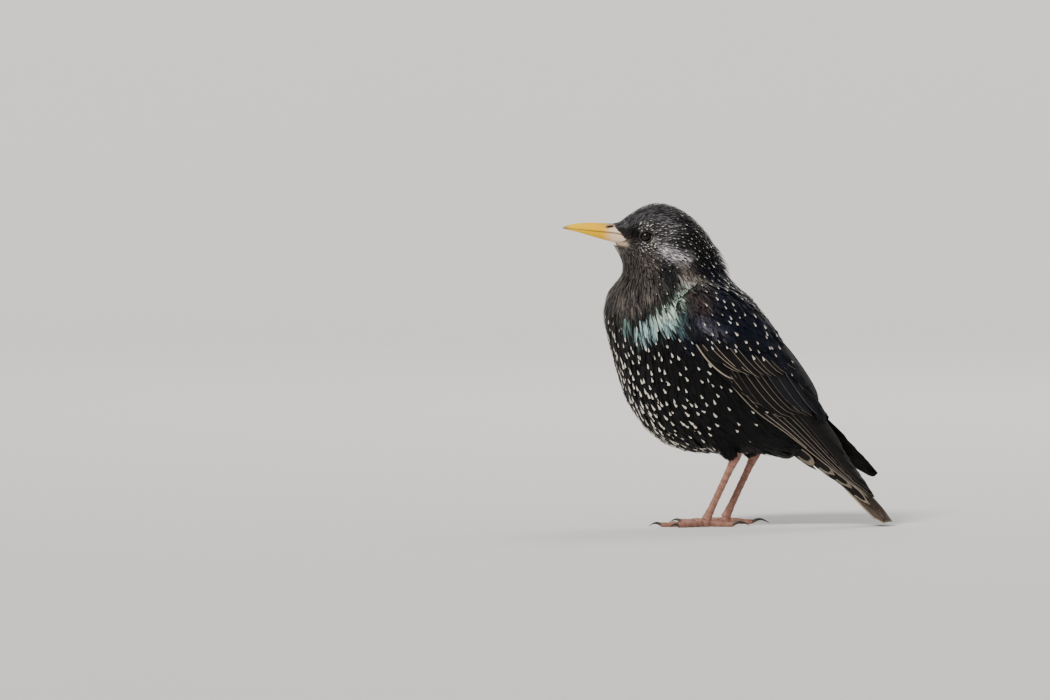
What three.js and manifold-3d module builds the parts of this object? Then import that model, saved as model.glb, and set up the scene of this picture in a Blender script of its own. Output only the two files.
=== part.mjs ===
// A common starling, life size, standing on a flat floor with its body upright and its wings folded.
// Millimetres, +Z up. The bird faces -X, its left side is -Y, and the floor is Z = 0.
import * as THREE from "three";
import { mergeVertices } from "three/addons/utils/BufferGeometryUtils.js";
import Module from "manifold-3d";

const wasm = await Module();
wasm.setup();

// General sizes
const GAP = 0.3; // between neighbouring pieces
const KNIFE = 200; // longer than the bird
const LEFT = -1;
const RIGHT = 1;
const SIDES = [["l", LEFT], ["r", RIGHT]];

// The feathered body from the bill to the tail: each station is a slice, named by its back point and
// its front point in profile, [x, z], and half its width.
const STATIONS = [
  { back: [-45.4, 134.9], front: [-47.8, 125.8], half: 3.2 },
  { back: [-43.4, 136.2], front: [-46.4, 123.4], half: 4.2 },
  { back: [-39.9, 139.1], front: [-44.8, 120.9], half: 5.4 },
  { back: [-34.8, 142.2], front: [-43.6, 118.2], half: 7.6 },
  { back: [-27.8, 143.7], front: [-42.9, 115.4], half: 9.8 },
  { back: [-19.6, 141.8], front: [-42.7, 112.7], half: 11.9 },
  { back: [-11.6, 136.2], front: [-43.8, 110.4], half: 14.2 },
  { back: [-5.0, 128.2], front: [-45.9, 107.8], half: 16.6 },
  { back: [-0.2, 118.8], front: [-48.9, 103.9], half: 19.8 },
  { back: [4.8, 109.2], front: [-51.0, 95.5], half: 23.8 },
  { back: [13.2, 101.0], front: [-49.5, 85.6], half: 26.6 },
  { back: [20.4, 91.8], front: [-45.8, 71.3], half: 27.6 },
  { back: [26.4, 81.4], front: [-39.6, 54.0], half: 26.4 },
  { back: [31.4, 70.4], front: [-29.4, 40.8], half: 23.6 },
  { back: [35.2, 60.6], front: [-16.6, 34.4], half: 20.0 },
  { back: [38.6, 52.6], front: [0.0, 32.8], half: 16.2 },
  { back: [41.8, 46.2], front: [16.0, 32.6], half: 12.4 },
  { back: [44.8, 41.0], front: [30.4, 30.2], half: 9.0 },
];
const BODY_ROUNDNESS = 2.15; // superellipse exponent of a slice
const BODY_SEGMENTS = 24;
const RINGS_PER_STATION = 2;
const HEAD_ENDS_AT = 6.35; // counted in stations
const NECK_ENDS_AT = 8.5;
const TORSO_ENDS_AT = 14.0;

// The bill: each station is a slice, from the base hidden in the face to the tip
const BILL = [
  { x: -40.5, culmen: 134.0, mouth: 129.2, keel: 124.2, half: 6.2 },
  { x: -46.4, culmen: 134.6, mouth: 130.6, keel: 125.8, half: 4.4 },
  { x: -50.4, culmen: 134.8, mouth: 131.0, keel: 127.0, half: 3.6 },
  { x: -56.9, culmen: 135.0, mouth: 131.5, keel: 128.8, half: 2.6 },
  { x: -63.0, culmen: 134.8, mouth: 132.1, keel: 130.6, half: 1.7 },
  { x: -67.6, culmen: 133.9, mouth: 132.5, keel: 131.7, half: 0.95 },
  { x: -70.1, culmen: 133.0, mouth: 132.7, keel: 132.3, half: 0.35 },
];
const BILL_SEGMENTS = 10;
const NOSTRIL = { x: -48.9, y: 3.0, z: 133.1, long: 1.8, deep: 0.9, high: 0.65 };

const EYE = { x: -32.5, y: 8.9, z: 129.0, radius: 2.9, opening: 2.75, lid: 0.55, lidOut: 1.95 };

// The leg on one side: the heel and the foot joint, and what joins them
const LEG = { apart: 12, stagger: 4, hip: [2, 44], heel: [11, 30.4], foot: [-1.8, 2.9] };
const THIGH = { top: 8.5, bottom: 2.9, taper: 0.8, sides: 12 };
const THIGH_SHARES = [0, 0.4, 0.75, 1];
// Each scute covers the given share of its length and ends in a step; both ends of the tarsus swell.
const TARSUS = { deep: 1.55, wide: 1.15, scutes: 6, cover: 0.96, step: 0.18, swell: 0.55, sides: 8 };
const FOOT = { radius: 2.3, rise: 2.2, flat: 0.6 };
const TOE_OUT = 8; // degrees that the middle toe turns outwards
const TOES = [
  { name: "hind", turn: 180, length: 12, radius: 1.25, claw: 8.5 },
  { name: "inner", turn: 32, length: 14, radius: 1.1, claw: 5.2 },
  { name: "middle", turn: 0, length: 20, radius: 1.2, claw: 6.2 },
  { name: "outer", turn: -30, length: 15, radius: 1.1, claw: 5.2 },
];

// A toe from the foot to the claw, with a pad before each joint: share of its length, share of its
// radius, and height above the floor
const TOE_PROFILE = [
  { share: 0, swell: 1.15, height: 1.7 },
  { share: 0.24, swell: 1.12, height: 1.5 },
  { share: 0.3, swell: 0.98, height: 1.4 },
  { share: 0.52, swell: 1.08, height: 1.2 },
  { share: 0.58, swell: 0.94, height: 1.1 },
  { share: 0.86, swell: 1.02, height: 1.0 },
  { share: 1, swell: 0.8, height: 1.05 },
];

// A claw's height above the floor at its base and tip, the rise of its arch and its level reach as
// shares of its length, its radius at the base, as a share of the toe's, and at the tip, and how
// narrow it is for its depth
const CLAW = { heights: [1.05, 0.35], arch: 0.17, reach: 0.9, base: 0.66, tip: 0.15, narrow: 0.75 };
const CLAW_SHARES = [0, 0.35, 0.7, 1];

// The tail's upper face in profile, and its fan of feathers
const TAIL = {
  tip: [77.9, 3.0],
  slope: 45,
  length: 52.5,
  rootHalf: 5.5,
  tipHalf: 9.2,
  thick: 6.0,
  droop: 1.5,
};
const TAIL_CORE = { length: 19, half: 5.2, top: -0.5, bottom: -4.4 };

// The tail's feathers: how far from the middle the first pair's roots and tips lie and how much
// further each next pair's, half a feather's width, the step down from one pair to the next, how much
// shorter each next pair is, and how far the first pair's tips bend down
const RECTRICES = {
  pairs: 6,
  root: [0.5, 0.4],
  tip: [1.0, 1.14],
  half: 2.9,
  step: 0.6,
  shorter: 0.36,
  bend: 1.4,
  thick: [0.65, 0.5],
};
// The coverts under the tail, in tiers from the longest: how far before the tail's tip and how far
// above its upper face their roots and tips lie
const UNDERTAIL = [
  { count: 3, root: [58.4, -8.6], tip: [15.5, -5.8], half: 3.6, spread: 3.2 },
  { count: 4, root: [59.4, -10.8], tip: [25, -6.8], half: 3.8, spread: 5.0 },
  { count: 3, root: [60.4, -12.8], tip: [35, -9.3], half: 4.0, spread: 4.6 },
];
const UNDERTAIL_THICK = [1.6, 0.6];

// A folded wing as the left one: its lower edge and upper edge, [x, y, z], from the wrist to the tip
const WING = [
  { low: [-20.0, -27.0, 99.5], high: [-8.5, -19.6, 108.5], bulge: 3.0, thick: 4.5 },
  { low: [-13.5, -29.8, 87.0], high: [5.2, -14.4, 105.0], bulge: 5.4, thick: 7.5 },
  { low: [-5.5, -30.0, 75.5], high: [18.8, -9.0, 94.2], bulge: 5.4, thick: 8.0 },
  { low: [5.0, -28.0, 64.6], high: [29.4, -5.6, 79.8], bulge: 4.6, thick: 7.5 },
  { low: [16.4, -23.6, 52.2], high: [39.4, -4.0, 64.8], bulge: 3.4, thick: 5.4 },
  { low: [29.8, -17.6, 42.2], high: [47.3, -3.6, 50.2], bulge: 2.0, thick: 2.2 },
];
// The last two stations of each wing: the right one holds its tip higher.
const WING_ENDS = {
  [LEFT]: [
    { low: [47.6, -11.8, 27.6], high: [59.2, -4.4, 28.6], bulge: 0.8, thick: 1.3 },
    { low: [66.4, -10.6, 12.6], high: [70.2, -8.6, 13.4], bulge: 0.1, thick: 1.0 },
  ],
  [RIGHT]: [
    { low: [51.4, -11.4, 30.4], high: [60.6, -4.4, 34.2], bulge: 0.8, thick: 1.3 },
    { low: [68.0, -9.8, 20.6], high: [70.8, -7.4, 23.4], bulge: 0.1, thick: 1.0 },
  ],
};
const CORE = { from: 0.015, to: 0.76, low: 0.04, high: 0.97, sunk: 0.5 }; // the wing under its feathers

// Every vane is drawn by the same outline: [share of its length, share of its half-width].
const LONG_VANE = [[0, 0.6], [0.5, 1], [0.9, 0.85], [1, 0.25]];
const SHORT_VANE = [[0, 0.6], [0.5, 1], [0.86, 0.82], [1, 0.3]];

// The wing's feathers in tiers, the lowest layer first. Each tier runs from the lower edge of the wing
// to the upper. Its roots lie on a line and its tips on a curve, all [along, across] the wing; half is
// half a feather's width, height its rise above the wing at the root and the tip, and tuck how far
// each slopes under the next one up.
const WING_TIERS = [
  {
    name: "primaries",
    count: 9,
    roots: [[0.47, 0.1], [0.55, 0.62]],
    tips: [[0.985, 0.12], [0.985, 0.6], [0.9, 0.86], [0.78, 0.9]],
    half: [2.7, 3.4],
    height: [-0.3, 0.35],
    tuck: 0.35,
    outline: LONG_VANE,
    columns: 1,
  },
  {
    name: "secondaries",
    count: 6,
    roots: [[0.36, 0.28], [0.42, 0.7]],
    tips: [[0.66, 0.4], [0.7, 0.56], [0.715, 0.74]],
    half: [3.4, 3.8],
    height: [-0.2, 0.75],
    tuck: 0.35,
    outline: LONG_VANE,
    columns: 1,
  },
  {
    name: "tertials",
    count: 3,
    roots: [[0.42, 0.74], [0.42, 0.92]],
    tips: [[0.7, 0.68], [0.715, 0.83], [0.64, 0.95]],
    half: [4.4, 4.8],
    height: [-0.2, 1.2],
    tuck: 0.4,
    outline: LONG_VANE,
    columns: 2,
  },
  {
    name: "primary_coverts",
    count: 4,
    roots: [[0.28, 0.06], [0.36, 0.22]],
    tips: [[0.47, 0.03], [0.53, 0.06], [0.585, 0.13]],
    half: [2.6, 2.6],
    height: [-0.2, 0.95],
    tuck: 0.3,
    outline: SHORT_VANE,
    columns: 1,
  },
  {
    name: "greater_coverts",
    count: 7,
    roots: [[0.18, 0.16], [0.33, 0.84]],
    tips: [[0.37, 0.14], [0.45, 0.4], [0.53, 0.82]],
    half: [3.2, 3.8],
    height: [-0.2, 1.45],
    tuck: 0.3,
    outline: SHORT_VANE,
    columns: 2,
  },
  {
    name: "alula",
    count: 2,
    roots: [[0.16, 0.06], [0.18, 0.12]],
    tips: [[0.37, 0.02], [0.35, 0.08]],
    half: [2.4, 2.4],
    height: [-0.2, 1.5],
    tuck: 0.3,
    outline: SHORT_VANE,
    columns: 1,
  },
  {
    name: "median_coverts",
    count: 6,
    roots: [[0.12, 0.12], [0.26, 0.84]],
    tips: [[0.23, 0.12], [0.3, 0.4], [0.42, 0.86]],
    half: [3.4, 4.2],
    height: [-0.2, 1.9],
    tuck: 0.25,
    outline: SHORT_VANE,
    columns: 2,
  },
  {
    name: "lower_lesser_coverts",
    count: 5,
    roots: [[0.05, 0.16], [0.17, 0.84]],
    tips: [[0.15, 0.14], [0.21, 0.42], [0.32, 0.86]],
    half: [3.4, 4.2],
    height: [-0.2, 2.2],
    tuck: 0.2,
    outline: SHORT_VANE,
    columns: 1,
  },
  {
    name: "upper_lesser_coverts",
    count: 4,
    roots: [[0.01, 0.2], [0.08, 0.82]],
    tips: [[0.08, 0.18], [0.13, 0.44], [0.23, 0.84]],
    half: [3.6, 4.4],
    height: [-0.2, 2.4],
    tuck: 0.2,
    outline: SHORT_VANE,
    columns: 1,
  },
];

const VANE_THICK = [0.9, 0.5]; // at the root and at the tip
const QUILL = 0.12; // how far a vane's middle stands above its edges
const SCATTER = 0.012; // how far the tips stray, in shares of the wing

const MATERIALS = {
  plumage: new THREE.MeshStandardMaterial({ color: 0x1b1c22, roughness: 0.45, metalness: 0.1 }),
  wingFeathers: new THREE.MeshStandardMaterial({ color: 0x2a2522, roughness: 0.55, metalness: 0 }),
  bill: new THREE.MeshStandardMaterial({ color: 0xd9a53a, roughness: 0.4, metalness: 0 }),
  eye: new THREE.MeshStandardMaterial({ color: 0x120b08, roughness: 0.05, metalness: 0 }),
  leg: new THREE.MeshStandardMaterial({ color: 0x9a5a45, roughness: 0.6, metalness: 0 }),
  claw: new THREE.MeshStandardMaterial({ color: 0x2b2422, roughness: 0.4, metalness: 0 }),
};

// A seeded draw between 0 and 1, so that every build is the same.
let seed = 7;
function random() {
  seed = (seed * 16807) % 2147483647;
  return seed / 2147483647;
}

// Solids and how they are joined

// A geometry as a manifold-3d solid, turned to face out.
function solidOf(geometry) {
  const bare = new THREE.BufferGeometry();
  bare.setAttribute("position", geometry.getAttribute("position"));
  bare.setIndex(geometry.index);
  const merged = mergeVertices(bare, 1e-4);
  const vertProperties = merged.attributes.position.array;
  const triVerts = new Uint32Array(merged.index.array);
  const made = new wasm.Manifold(new wasm.Mesh({ numProp: 3, vertProperties, triVerts }));
  if (made.volume() > 0) return made;
  triVerts.reverse();
  return new wasm.Manifold(new wasm.Mesh({ numProp: 3, vertProperties, triVerts }));
}

// The largest closed surface of a solid: sealed hollows are filled and loose scraps dropped.
function largest(solid) {
  return solid.decompose().reduce((best, piece) => (piece.volume() > best.volume() ? piece : best));
}

function join(pieces) {
  return pieces.reduce((whole, piece) => whole.add(piece));
}

function cut(solid, ...knives) {
  return knives.reduce((rest, knife) => rest.subtract(knife), solid);
}

function meshOf(name, solid, material) {
  const { numProp, vertProperties, triVerts } = solid.getMesh();
  const geometry = new THREE.BufferGeometry();
  geometry.setAttribute("position", new THREE.BufferAttribute(vertProperties, numProp));
  geometry.setIndex(new THREE.BufferAttribute(triVerts, 1));
  geometry.computeVertexNormals();
  const mesh = new THREE.Mesh(geometry, material);
  mesh.name = name;
  return mesh;
}

function indexed(points, index) {
  const geometry = new THREE.BufferGeometry().setFromPoints(points);
  geometry.setIndex(index);
  return geometry;
}

// A closed body through rings of points, each end closed by a fan.
function loft(rings) {
  const count = rings[0].length;
  const points = rings.flat();
  const index = [];
  for (let i = 0; i + 1 < rings.length; i += 1) {
    for (let j = 0; j < count; j += 1) {
      const a = i * count + j;
      const b = i * count + ((j + 1) % count);
      index.push(a, b, b + count, a, b + count, a + count);
    }
  }
  const ends = [0, (rings.length - 1) * count];
  ends.forEach((first, end) => {
    const middle = points.length;
    const ring = points.slice(first, first + count);
    points.push(ring.reduce((sum, p) => sum.add(p), new THREE.Vector3()).divideScalar(count));
    for (let j = 0; j < count; j += 1) {
      const pair = [first + j, first + ((j + 1) % count)];
      index.push(middle, ...(end === 0 ? pair.reverse() : pair));
    }
  });
  return solidOf(indexed(points, index));
}

// A closed sheet of rows by columns: pointAt(row, column, face) gives its upper face (1) and its
// under face (0), both split into triangles the same way.
function sheet(rows, columns, pointAt) {
  const points = [];
  const index = [];
  const at = (row, column, face) => (row * (columns + 1) + column) * 2 + face;
  for (let row = 0; row <= rows; row += 1) {
    for (let column = 0; column <= columns; column += 1) {
      points.push(pointAt(row, column, 0), pointAt(row, column, 1));
    }
  }
  const quad = (a, b, c, d) => index.push(a, b, c, a, c, d);
  for (let row = 0; row < rows; row += 1) {
    for (let column = 0; column < columns; column += 1) {
      const corners = [[row, column], [row + 1, column], [row + 1, column + 1], [row, column + 1]];
      const [a, b, c, d] = corners.map(([r, k]) => at(r, k, 1));
      const [e, f, g, h] = corners.map(([r, k]) => at(r, k, 0));
      quad(a, b, c, d);
      index.push(e, g, f, e, h, g);
    }
  }
  for (let row = 0; row < rows; row += 1) {
    quad(at(row, 0, 0), at(row + 1, 0, 0), at(row + 1, 0, 1), at(row, 0, 1));
    quad(at(row + 1, columns, 0), at(row, columns, 0), at(row, columns, 1), at(row + 1, columns, 1));
  }
  for (let column = 0; column < columns; column += 1) {
    quad(at(0, column + 1, 0), at(0, column, 0), at(0, column, 1), at(0, column + 1, 1));
    quad(at(rows, column, 0), at(rows, column + 1, 0), at(rows, column + 1, 1), at(rows, column, 1));
  }
  return solidOf(indexed(points, index));
}

// A point on a ring round centre, spanned by two half-axes.
function ringPoint(centre, across, up, angle, roundness = 2) {
  const power = 2 / roundness;
  const bend = (value) => Math.sign(value) * Math.abs(value) ** power;
  return centre
    .clone()
    .addScaledVector(across, bend(Math.sin(angle)))
    .addScaledVector(up, bend(Math.cos(angle)));
}

// A tube along points with a radius for each, oval where deep (up) and wide (across) differ.
function tube(path, radii, sides, wide = 1) {
  const rings = path.map((centre, i) => {
    const before = path[Math.max(i - 1, 0)];
    const after = path[Math.min(i + 1, path.length - 1)];
    const along = after.clone().sub(before).normalize();
    const level = new THREE.Vector3(0, 1, 0);
    const upright = new THREE.Vector3(0, 0, 1);
    const across = Math.abs(along.y) < 0.9 ? new THREE.Vector3(-along.z, 0, along.x) : upright;
    const side = new THREE.Vector3().crossVectors(along, across).normalize();
    const up = new THREE.Vector3().crossVectors(side, along).normalize();
    if (side.dot(level) < 0) side.negate();
    return Array.from({ length: sides }, (_, k) => {
      const angle = ((k + 0.5) / sides) * 2 * Math.PI;
      const half = side.clone().multiplyScalar(radii[i] * wide);
      return ringPoint(centre, half, up.clone().multiplyScalar(radii[i]), angle);
    });
  });
  return loft(rings);
}

// The body, from the face to the rump

const backLine = new THREE.CatmullRomCurve3(
  STATIONS.map(({ back, half }) => new THREE.Vector3(back[0], half, back[1])),
);
const frontLine = new THREE.CatmullRomCurve3(
  STATIONS.map(({ front }) => new THREE.Vector3(front[0], 0, front[1])),
);

// The slice of the body at a station number, which may lie between two stations.
function bodySlice(station) {
  const share = station / (STATIONS.length - 1);
  const back = backLine.getPoint(share);
  const front = frontLine.getPoint(share);
  const half = back.y;
  back.y = 0;
  return { centre: back.clone().add(front).divideScalar(2), rise: back.sub(front).divideScalar(2), half };
}

function bodyRing(station, grow) {
  const { centre, rise, half } = bodySlice(station);
  rise.setLength(rise.length() + grow);
  const across = new THREE.Vector3(0, half + grow, 0);
  return Array.from({ length: BODY_SEGMENTS }, (_, k) =>
    ringPoint(centre, across, rise, (k / BODY_SEGMENTS) * 2 * Math.PI, BODY_ROUNDNESS),
  );
}

function bodyBetween(first, last, grow = 0) {
  const count = Math.round((last - first) * RINGS_PER_STATION);
  const station = (i) => first + ((last - first) * i) / count;
  return loft(Array.from({ length: count + 1 }, (_, i) => bodyRing(station(i), grow)));
}

// A thin cut through the body along the slice at a station number.
function bodyKnife(station) {
  const { centre, rise, half } = bodySlice(station);
  const blade = new THREE.BoxGeometry(GAP, 2 * half + 20, 2 * rise.length() + 20);
  blade.rotateY(Math.atan2(rise.x, rise.z));
  blade.translate(centre.x, centre.y, centre.z);
  return solidOf(blade);
}

// The bill

// One half of the bill: part is 1 for the upper half, from the mouth up to the culmen, and -1 for the
// lower one.
function billHalf(part, grow) {
  const rings = BILL.map(({ x, culmen, mouth, keel, half }, i) => {
    const flat = mouth - (part < 0 ? GAP : 0) - part * grow;
    const far = (part > 0 ? culmen : Math.min(keel, flat - GAP)) + part * grow;
    const along = i === 0 ? x + grow : x - (i === BILL.length - 1 ? grow : 0);
    const height = new THREE.Vector3(0, 0, far - flat);
    return Array.from({ length: BILL_SEGMENTS + 1 }, (_, k) =>
      ringPoint(
        new THREE.Vector3(along, 0, flat),
        new THREE.Vector3(0, half + 2 * grow, 0),
        height,
        (k / BILL_SEGMENTS - 0.5) * Math.PI,
      ),
    );
  });
  return loft(rings);
}

function ellipsoid(centre, radii, around = 14, rings = 8) {
  const ball = new THREE.SphereGeometry(1, around, rings);
  ball.scale(...radii);
  ball.translate(...centre);
  return solidOf(ball);
}

function nostril(side) {
  const { x, y, z, long, deep, high } = NOSTRIL;
  return ellipsoid([x, side * y, z], [long, deep, high], 8, 5);
}

// The head, with a socket and a ring of lid for each eye and a pocket for the bill

function eyeBall(side, grow = 0) {
  return ellipsoid([EYE.x, side * EYE.y, EYE.z], Array(3).fill(EYE.radius + grow), 14, 8);
}

function eyeLid(side) {
  const ring = new THREE.TorusGeometry(EYE.opening, EYE.lid, 5, 14);
  ring.rotateX(Math.PI / 2);
  ring.translate(EYE.x, side * (EYE.y + EYE.lidOut), EYE.z);
  return solidOf(ring);
}

function head(block) {
  const lidded = join([block, eyeLid(LEFT), eyeLid(RIGHT)]);
  const pockets = [eyeBall(LEFT, GAP), eyeBall(RIGHT, GAP), billHalf(1, GAP), billHalf(-1, GAP)];
  return largest(cut(lidded, ...pockets));
}

// The tail

const tailAlong = new THREE.Vector3(
  Math.cos(THREE.MathUtils.degToRad(TAIL.slope)),
  0,
  -Math.sin(THREE.MathUtils.degToRad(TAIL.slope)),
);
const tailUp = new THREE.Vector3(-tailAlong.z, 0, tailAlong.x);

// A point of the tail: how far before the tip, how far to the side, and how far above its upper face.
function tailPoint(before, aside, above) {
  return new THREE.Vector3(TAIL.tip[0], aside, TAIL.tip[1])
    .addScaledVector(tailAlong, -before)
    .addScaledVector(tailUp, above);
}

// The block that the tail fills, grown on every side.
function tailBlock(grow) {
  return sheet(4, 2, (row, column, face) => {
    const share = row / 4;
    const half = THREE.MathUtils.lerp(TAIL.rootHalf, TAIL.tipHalf, share) + grow;
    const before = TAIL.length * (1 - share) + grow * (1 - 2 * share);
    return tailPoint(before, (column - 1) * half, face ? grow : -TAIL.thick - grow);
  });
}

// One vane under or in the tail: root and tip are [before, aside, above].
function tailVane(root, tip, half, outline, thick, droop, bend = 0) {
  return sheet(outline.length - 1, 1, (row, column, face) => {
    const [share, wide] = outline[row];
    const place = root.map((value, i) => THREE.MathUtils.lerp(value, tip[i], share));
    place[1] += (2 * column - 1) * half * wide;
    place[2] -= droop * (place[1] / TAIL.tipHalf) ** 2 + bend * share ** 6;
    place[2] -= face ? 0 : THREE.MathUtils.lerp(...thick, share);
    return tailPoint(...place);
  });
}

// Twelve feathers: the middle pair on top, and each next one lower and further out.
function tail() {
  const core = sheet(2, 2, (row, column, face) =>
    tailPoint(
      TAIL.length - (TAIL_CORE.length * row) / 2,
      (column - 1) * TAIL_CORE.half,
      face ? TAIL_CORE.top : TAIL_CORE.bottom,
    ),
  );
  const feathers = [];
  for (let pair = 0; pair < RECTRICES.pairs; pair += 1) {
    for (const side of [LEFT, RIGHT]) {
      const at = (key) => side * (RECTRICES[key][0] + RECTRICES[key][1] * pair);
      const above = -RECTRICES.step * (pair + (side === RIGHT ? 0.5 : 0));
      const root = [TAIL.length - 3, at("root"), above];
      const tip = [RECTRICES.shorter * pair, at("tip"), above];
      const bend = RECTRICES.bend * (1 - pair / RECTRICES.pairs);
      feathers.push(tailVane(root, tip, RECTRICES.half, LONG_VANE, RECTRICES.thick, TAIL.droop, bend));
    }
  }
  return join([core, ...feathers]);
}

function undertailCoverts() {
  return UNDERTAIL.flatMap(({ count, root, tip, half, spread }) =>
    Array.from({ length: count }, (_, i) => {
      const aside = spread * ((2 * i) / (count - 1) - 1);
      const from = [root[0], aside * 0.8, root[1]];
      const to = [tip[0] + random() + Math.abs(aside) * 0.6, aside, tip[1] - (i % 2) * 0.35];
      return tailVane(from, to, half, SHORT_VANE, UNDERTAIL_THICK, 0);
    }),
  );
}

// The wings

// The lines that shape one wing: its lower edge, its upper edge, and its bulge and depth as y and z.
function wingLines(side) {
  const stations = [...WING, ...WING_ENDS[side]];
  const edge = (key) => new THREE.CatmullRomCurve3(stations.map((at) => new THREE.Vector3(...at[key])));
  const depth = stations.map(({ bulge, thick }, i) => new THREE.Vector3(i, bulge, thick));
  return { low: edge("low"), high: edge("high"), depth: new THREE.CatmullRomCurve3(depth) };
}
const WING_LINES = { [LEFT]: wingLines(LEFT), [RIGHT]: wingLines(RIGHT) };

// A point on a wing: along from wrist to tip, across from the lower edge to the upper, above its surface.
function wingPoint(side, along, across, above) {
  const lines = WING_LINES[side];
  const surface = (u, v) => {
    const low = lines.low.getPoint(u);
    const high = lines.high.getPoint(u);
    const point = low.clone().lerp(high, v);
    const outward = new THREE.Vector3(0, low.z - high.z, high.y - low.y).normalize();
    point.addScaledVector(outward, 4 * v * (1 - v) * lines.depth.getPoint(u).y);
    return point;
  };
  const step = 0.01;
  const u = THREE.MathUtils.clamp(along, step, 1 - step);
  const du = surface(u + step, across).sub(surface(u - step, across));
  const dv = surface(u, across + step).sub(surface(u, across - step));
  const normal = dv.cross(du).normalize();
  if (normal.y > 0) normal.negate();
  const point = surface(along, across).addScaledVector(normal, above);
  point.y *= -side;
  return point;
}

// The width of a wing in millimetres at a place along it.
function wingSpan(side, along) {
  return WING_LINES[side].low.getPoint(along).distanceTo(WING_LINES[side].high.getPoint(along));
}

function wingCore(side) {
  const rows = 7;
  const columns = 3;
  return sheet(rows, columns, (row, column, face) => {
    const along = THREE.MathUtils.lerp(CORE.from, CORE.to, row / rows);
    const across = THREE.MathUtils.lerp(CORE.low, CORE.high, column / columns);
    const thick = WING_LINES[side].depth.getPoint(along).z;
    return wingPoint(side, along, across, face ? -CORE.sunk : -CORE.sunk - thick);
  });
}

// One vane on the wing, from its root to its tip, both [along, across].
function wingVane(side, root, tip, half, { height, tuck, outline, columns }) {
  return sheet(outline.length - 1, columns, (row, column, face) => {
    const [share, wide] = outline[row];
    const aside = (2 * column) / columns - 1;
    const along = THREE.MathUtils.lerp(root[0], tip[0], share);
    const shift = (aside * half * wide) / wingSpan(side, along);
    const across = THREE.MathUtils.lerp(root[1], tip[1], share) + shift;
    const rise = THREE.MathUtils.lerp(...height, share ** 0.6) - aside * tuck + (aside ? 0 : QUILL);
    const thick = THREE.MathUtils.lerp(...VANE_THICK, share);
    return wingPoint(side, along, across, face ? rise : rise - thick);
  });
}

function wingTier(side, tier) {
  const flat = ([along, across]) => new THREE.Vector2(along, across);
  const rootLine = new THREE.LineCurve(...tier.roots.map(flat));
  const tipLine = new THREE.SplineCurve(tier.tips.map(flat));
  return Array.from({ length: tier.count }, (_, i) => {
    const share = i / (tier.count - 1);
    const root = rootLine.getPoint(share).toArray();
    const tip = tipLine.getPoint(share).toArray();
    tip[0] = Math.min(tip[0] + SCATTER * (random() - 0.5), 1);
    return wingVane(side, root, tip, THREE.MathUtils.lerp(...tier.half, share), tier);
  });
}

function wing(side) {
  return join([wingCore(side), ...WING_TIERS.flatMap((tier) => wingTier(side, tier))]);
}

// The legs

// A point in the plane of one leg, from its profile place [x, z].
function legPoint(side, [x, z]) {
  return new THREE.Vector3(x + side * LEG.stagger, side * LEG.apart, z);
}

function thigh(side) {
  const top = legPoint(side, LEG.hip);
  const bottom = legPoint(side, LEG.heel);
  const radiusAt = (share) => THREE.MathUtils.lerp(THIGH.top, THIGH.bottom, share ** THIGH.taper);
  const path = THIGH_SHARES.map((share) => top.clone().lerp(bottom, share));
  return tube(path, THIGH_SHARES.map(radiusAt), THIGH.sides);
}

// The tarsus: overlapping scutes make small steps down its length.
function tarsus(side, grow = 0) {
  const top = legPoint(side, LEG.heel);
  const bottom = legPoint(side, LEG.foot);
  const path = [];
  const radii = [];
  for (let scute = 0; scute < TARSUS.scutes; scute += 1) {
    const shares = [scute / TARSUS.scutes, (scute + TARSUS.cover) / TARSUS.scutes];
    shares.forEach((share, end) => {
      const swell = 1 + TARSUS.swell * (2 * share - 1) ** 4;
      path.push(top.clone().lerp(bottom, share));
      radii.push(TARSUS.deep * swell + (end ? TARSUS.step : 0) + grow);
    });
  }
  const further = top.sub(bottom).setLength(grow);
  path[0].add(further);
  path[path.length - 1].sub(further);
  return tube(path, radii, TARSUS.sides, TARSUS.wide / TARSUS.deep);
}

function foot(side, grow = 0) {
  const centre = legPoint(side, LEG.foot);
  const radii = [FOOT.radius + grow, FOOT.radius + grow, FOOT.rise + grow];
  return ellipsoid([centre.x, centre.y, FOOT.rise - FOOT.flat], radii, 10, 6);
}

// The way that a toe points from its foot; turns are from straight ahead towards the bird's middle.
function toeWay(side, { name, turn }) {
  const inwards = THREE.MathUtils.degToRad(name === "hind" ? turn : turn - TOE_OUT);
  return new THREE.Vector3(-Math.cos(inwards), -side * Math.sin(inwards), 0);
}

// A point along a toe, at a height above the floor.
function toePoint(side, toe, distance, height) {
  const start = legPoint(side, LEG.foot);
  start.z = height;
  return start.addScaledVector(toeWay(side, toe), distance);
}

function toe(side, size, grow = 0) {
  return tube(
    TOE_PROFILE.map(({ share, height }) => toePoint(side, size, size.length * share, height)),
    TOE_PROFILE.map(({ swell }) => swell * size.radius + grow),
    6,
  );
}

function claw(side, size) {
  const path = CLAW_SHARES.map((share) => {
    const arch = CLAW.arch * size.claw * Math.sin(Math.PI * share);
    const high = THREE.MathUtils.lerp(...CLAW.heights, share) + arch;
    return toePoint(side, size, size.length + 2 * GAP + size.claw * CLAW.reach * share, high);
  });
  const base = size.radius * CLAW.base;
  const radii = CLAW_SHARES.map((share) => THREE.MathUtils.lerp(base, CLAW.tip, share));
  return tube(path, radii, 5, CLAW.narrow);
}

// All that lies past the bird's middle plane from one side.
function otherSide(side) {
  const block = new THREE.BoxGeometry(KNIFE, KNIFE, 2 * KNIFE);
  return solidOf(block.translate(0, (-side * (KNIFE - GAP)) / 2, 0));
}

// The bird

const bird = new THREE.Group();
const add = (name, solid, material) => bird.add(meshOf(name, largest(solid), material));
const floor = solidOf(new THREE.BoxGeometry(KNIFE, KNIFE, KNIFE).translate(0, 0, -KNIFE / 2));

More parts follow.
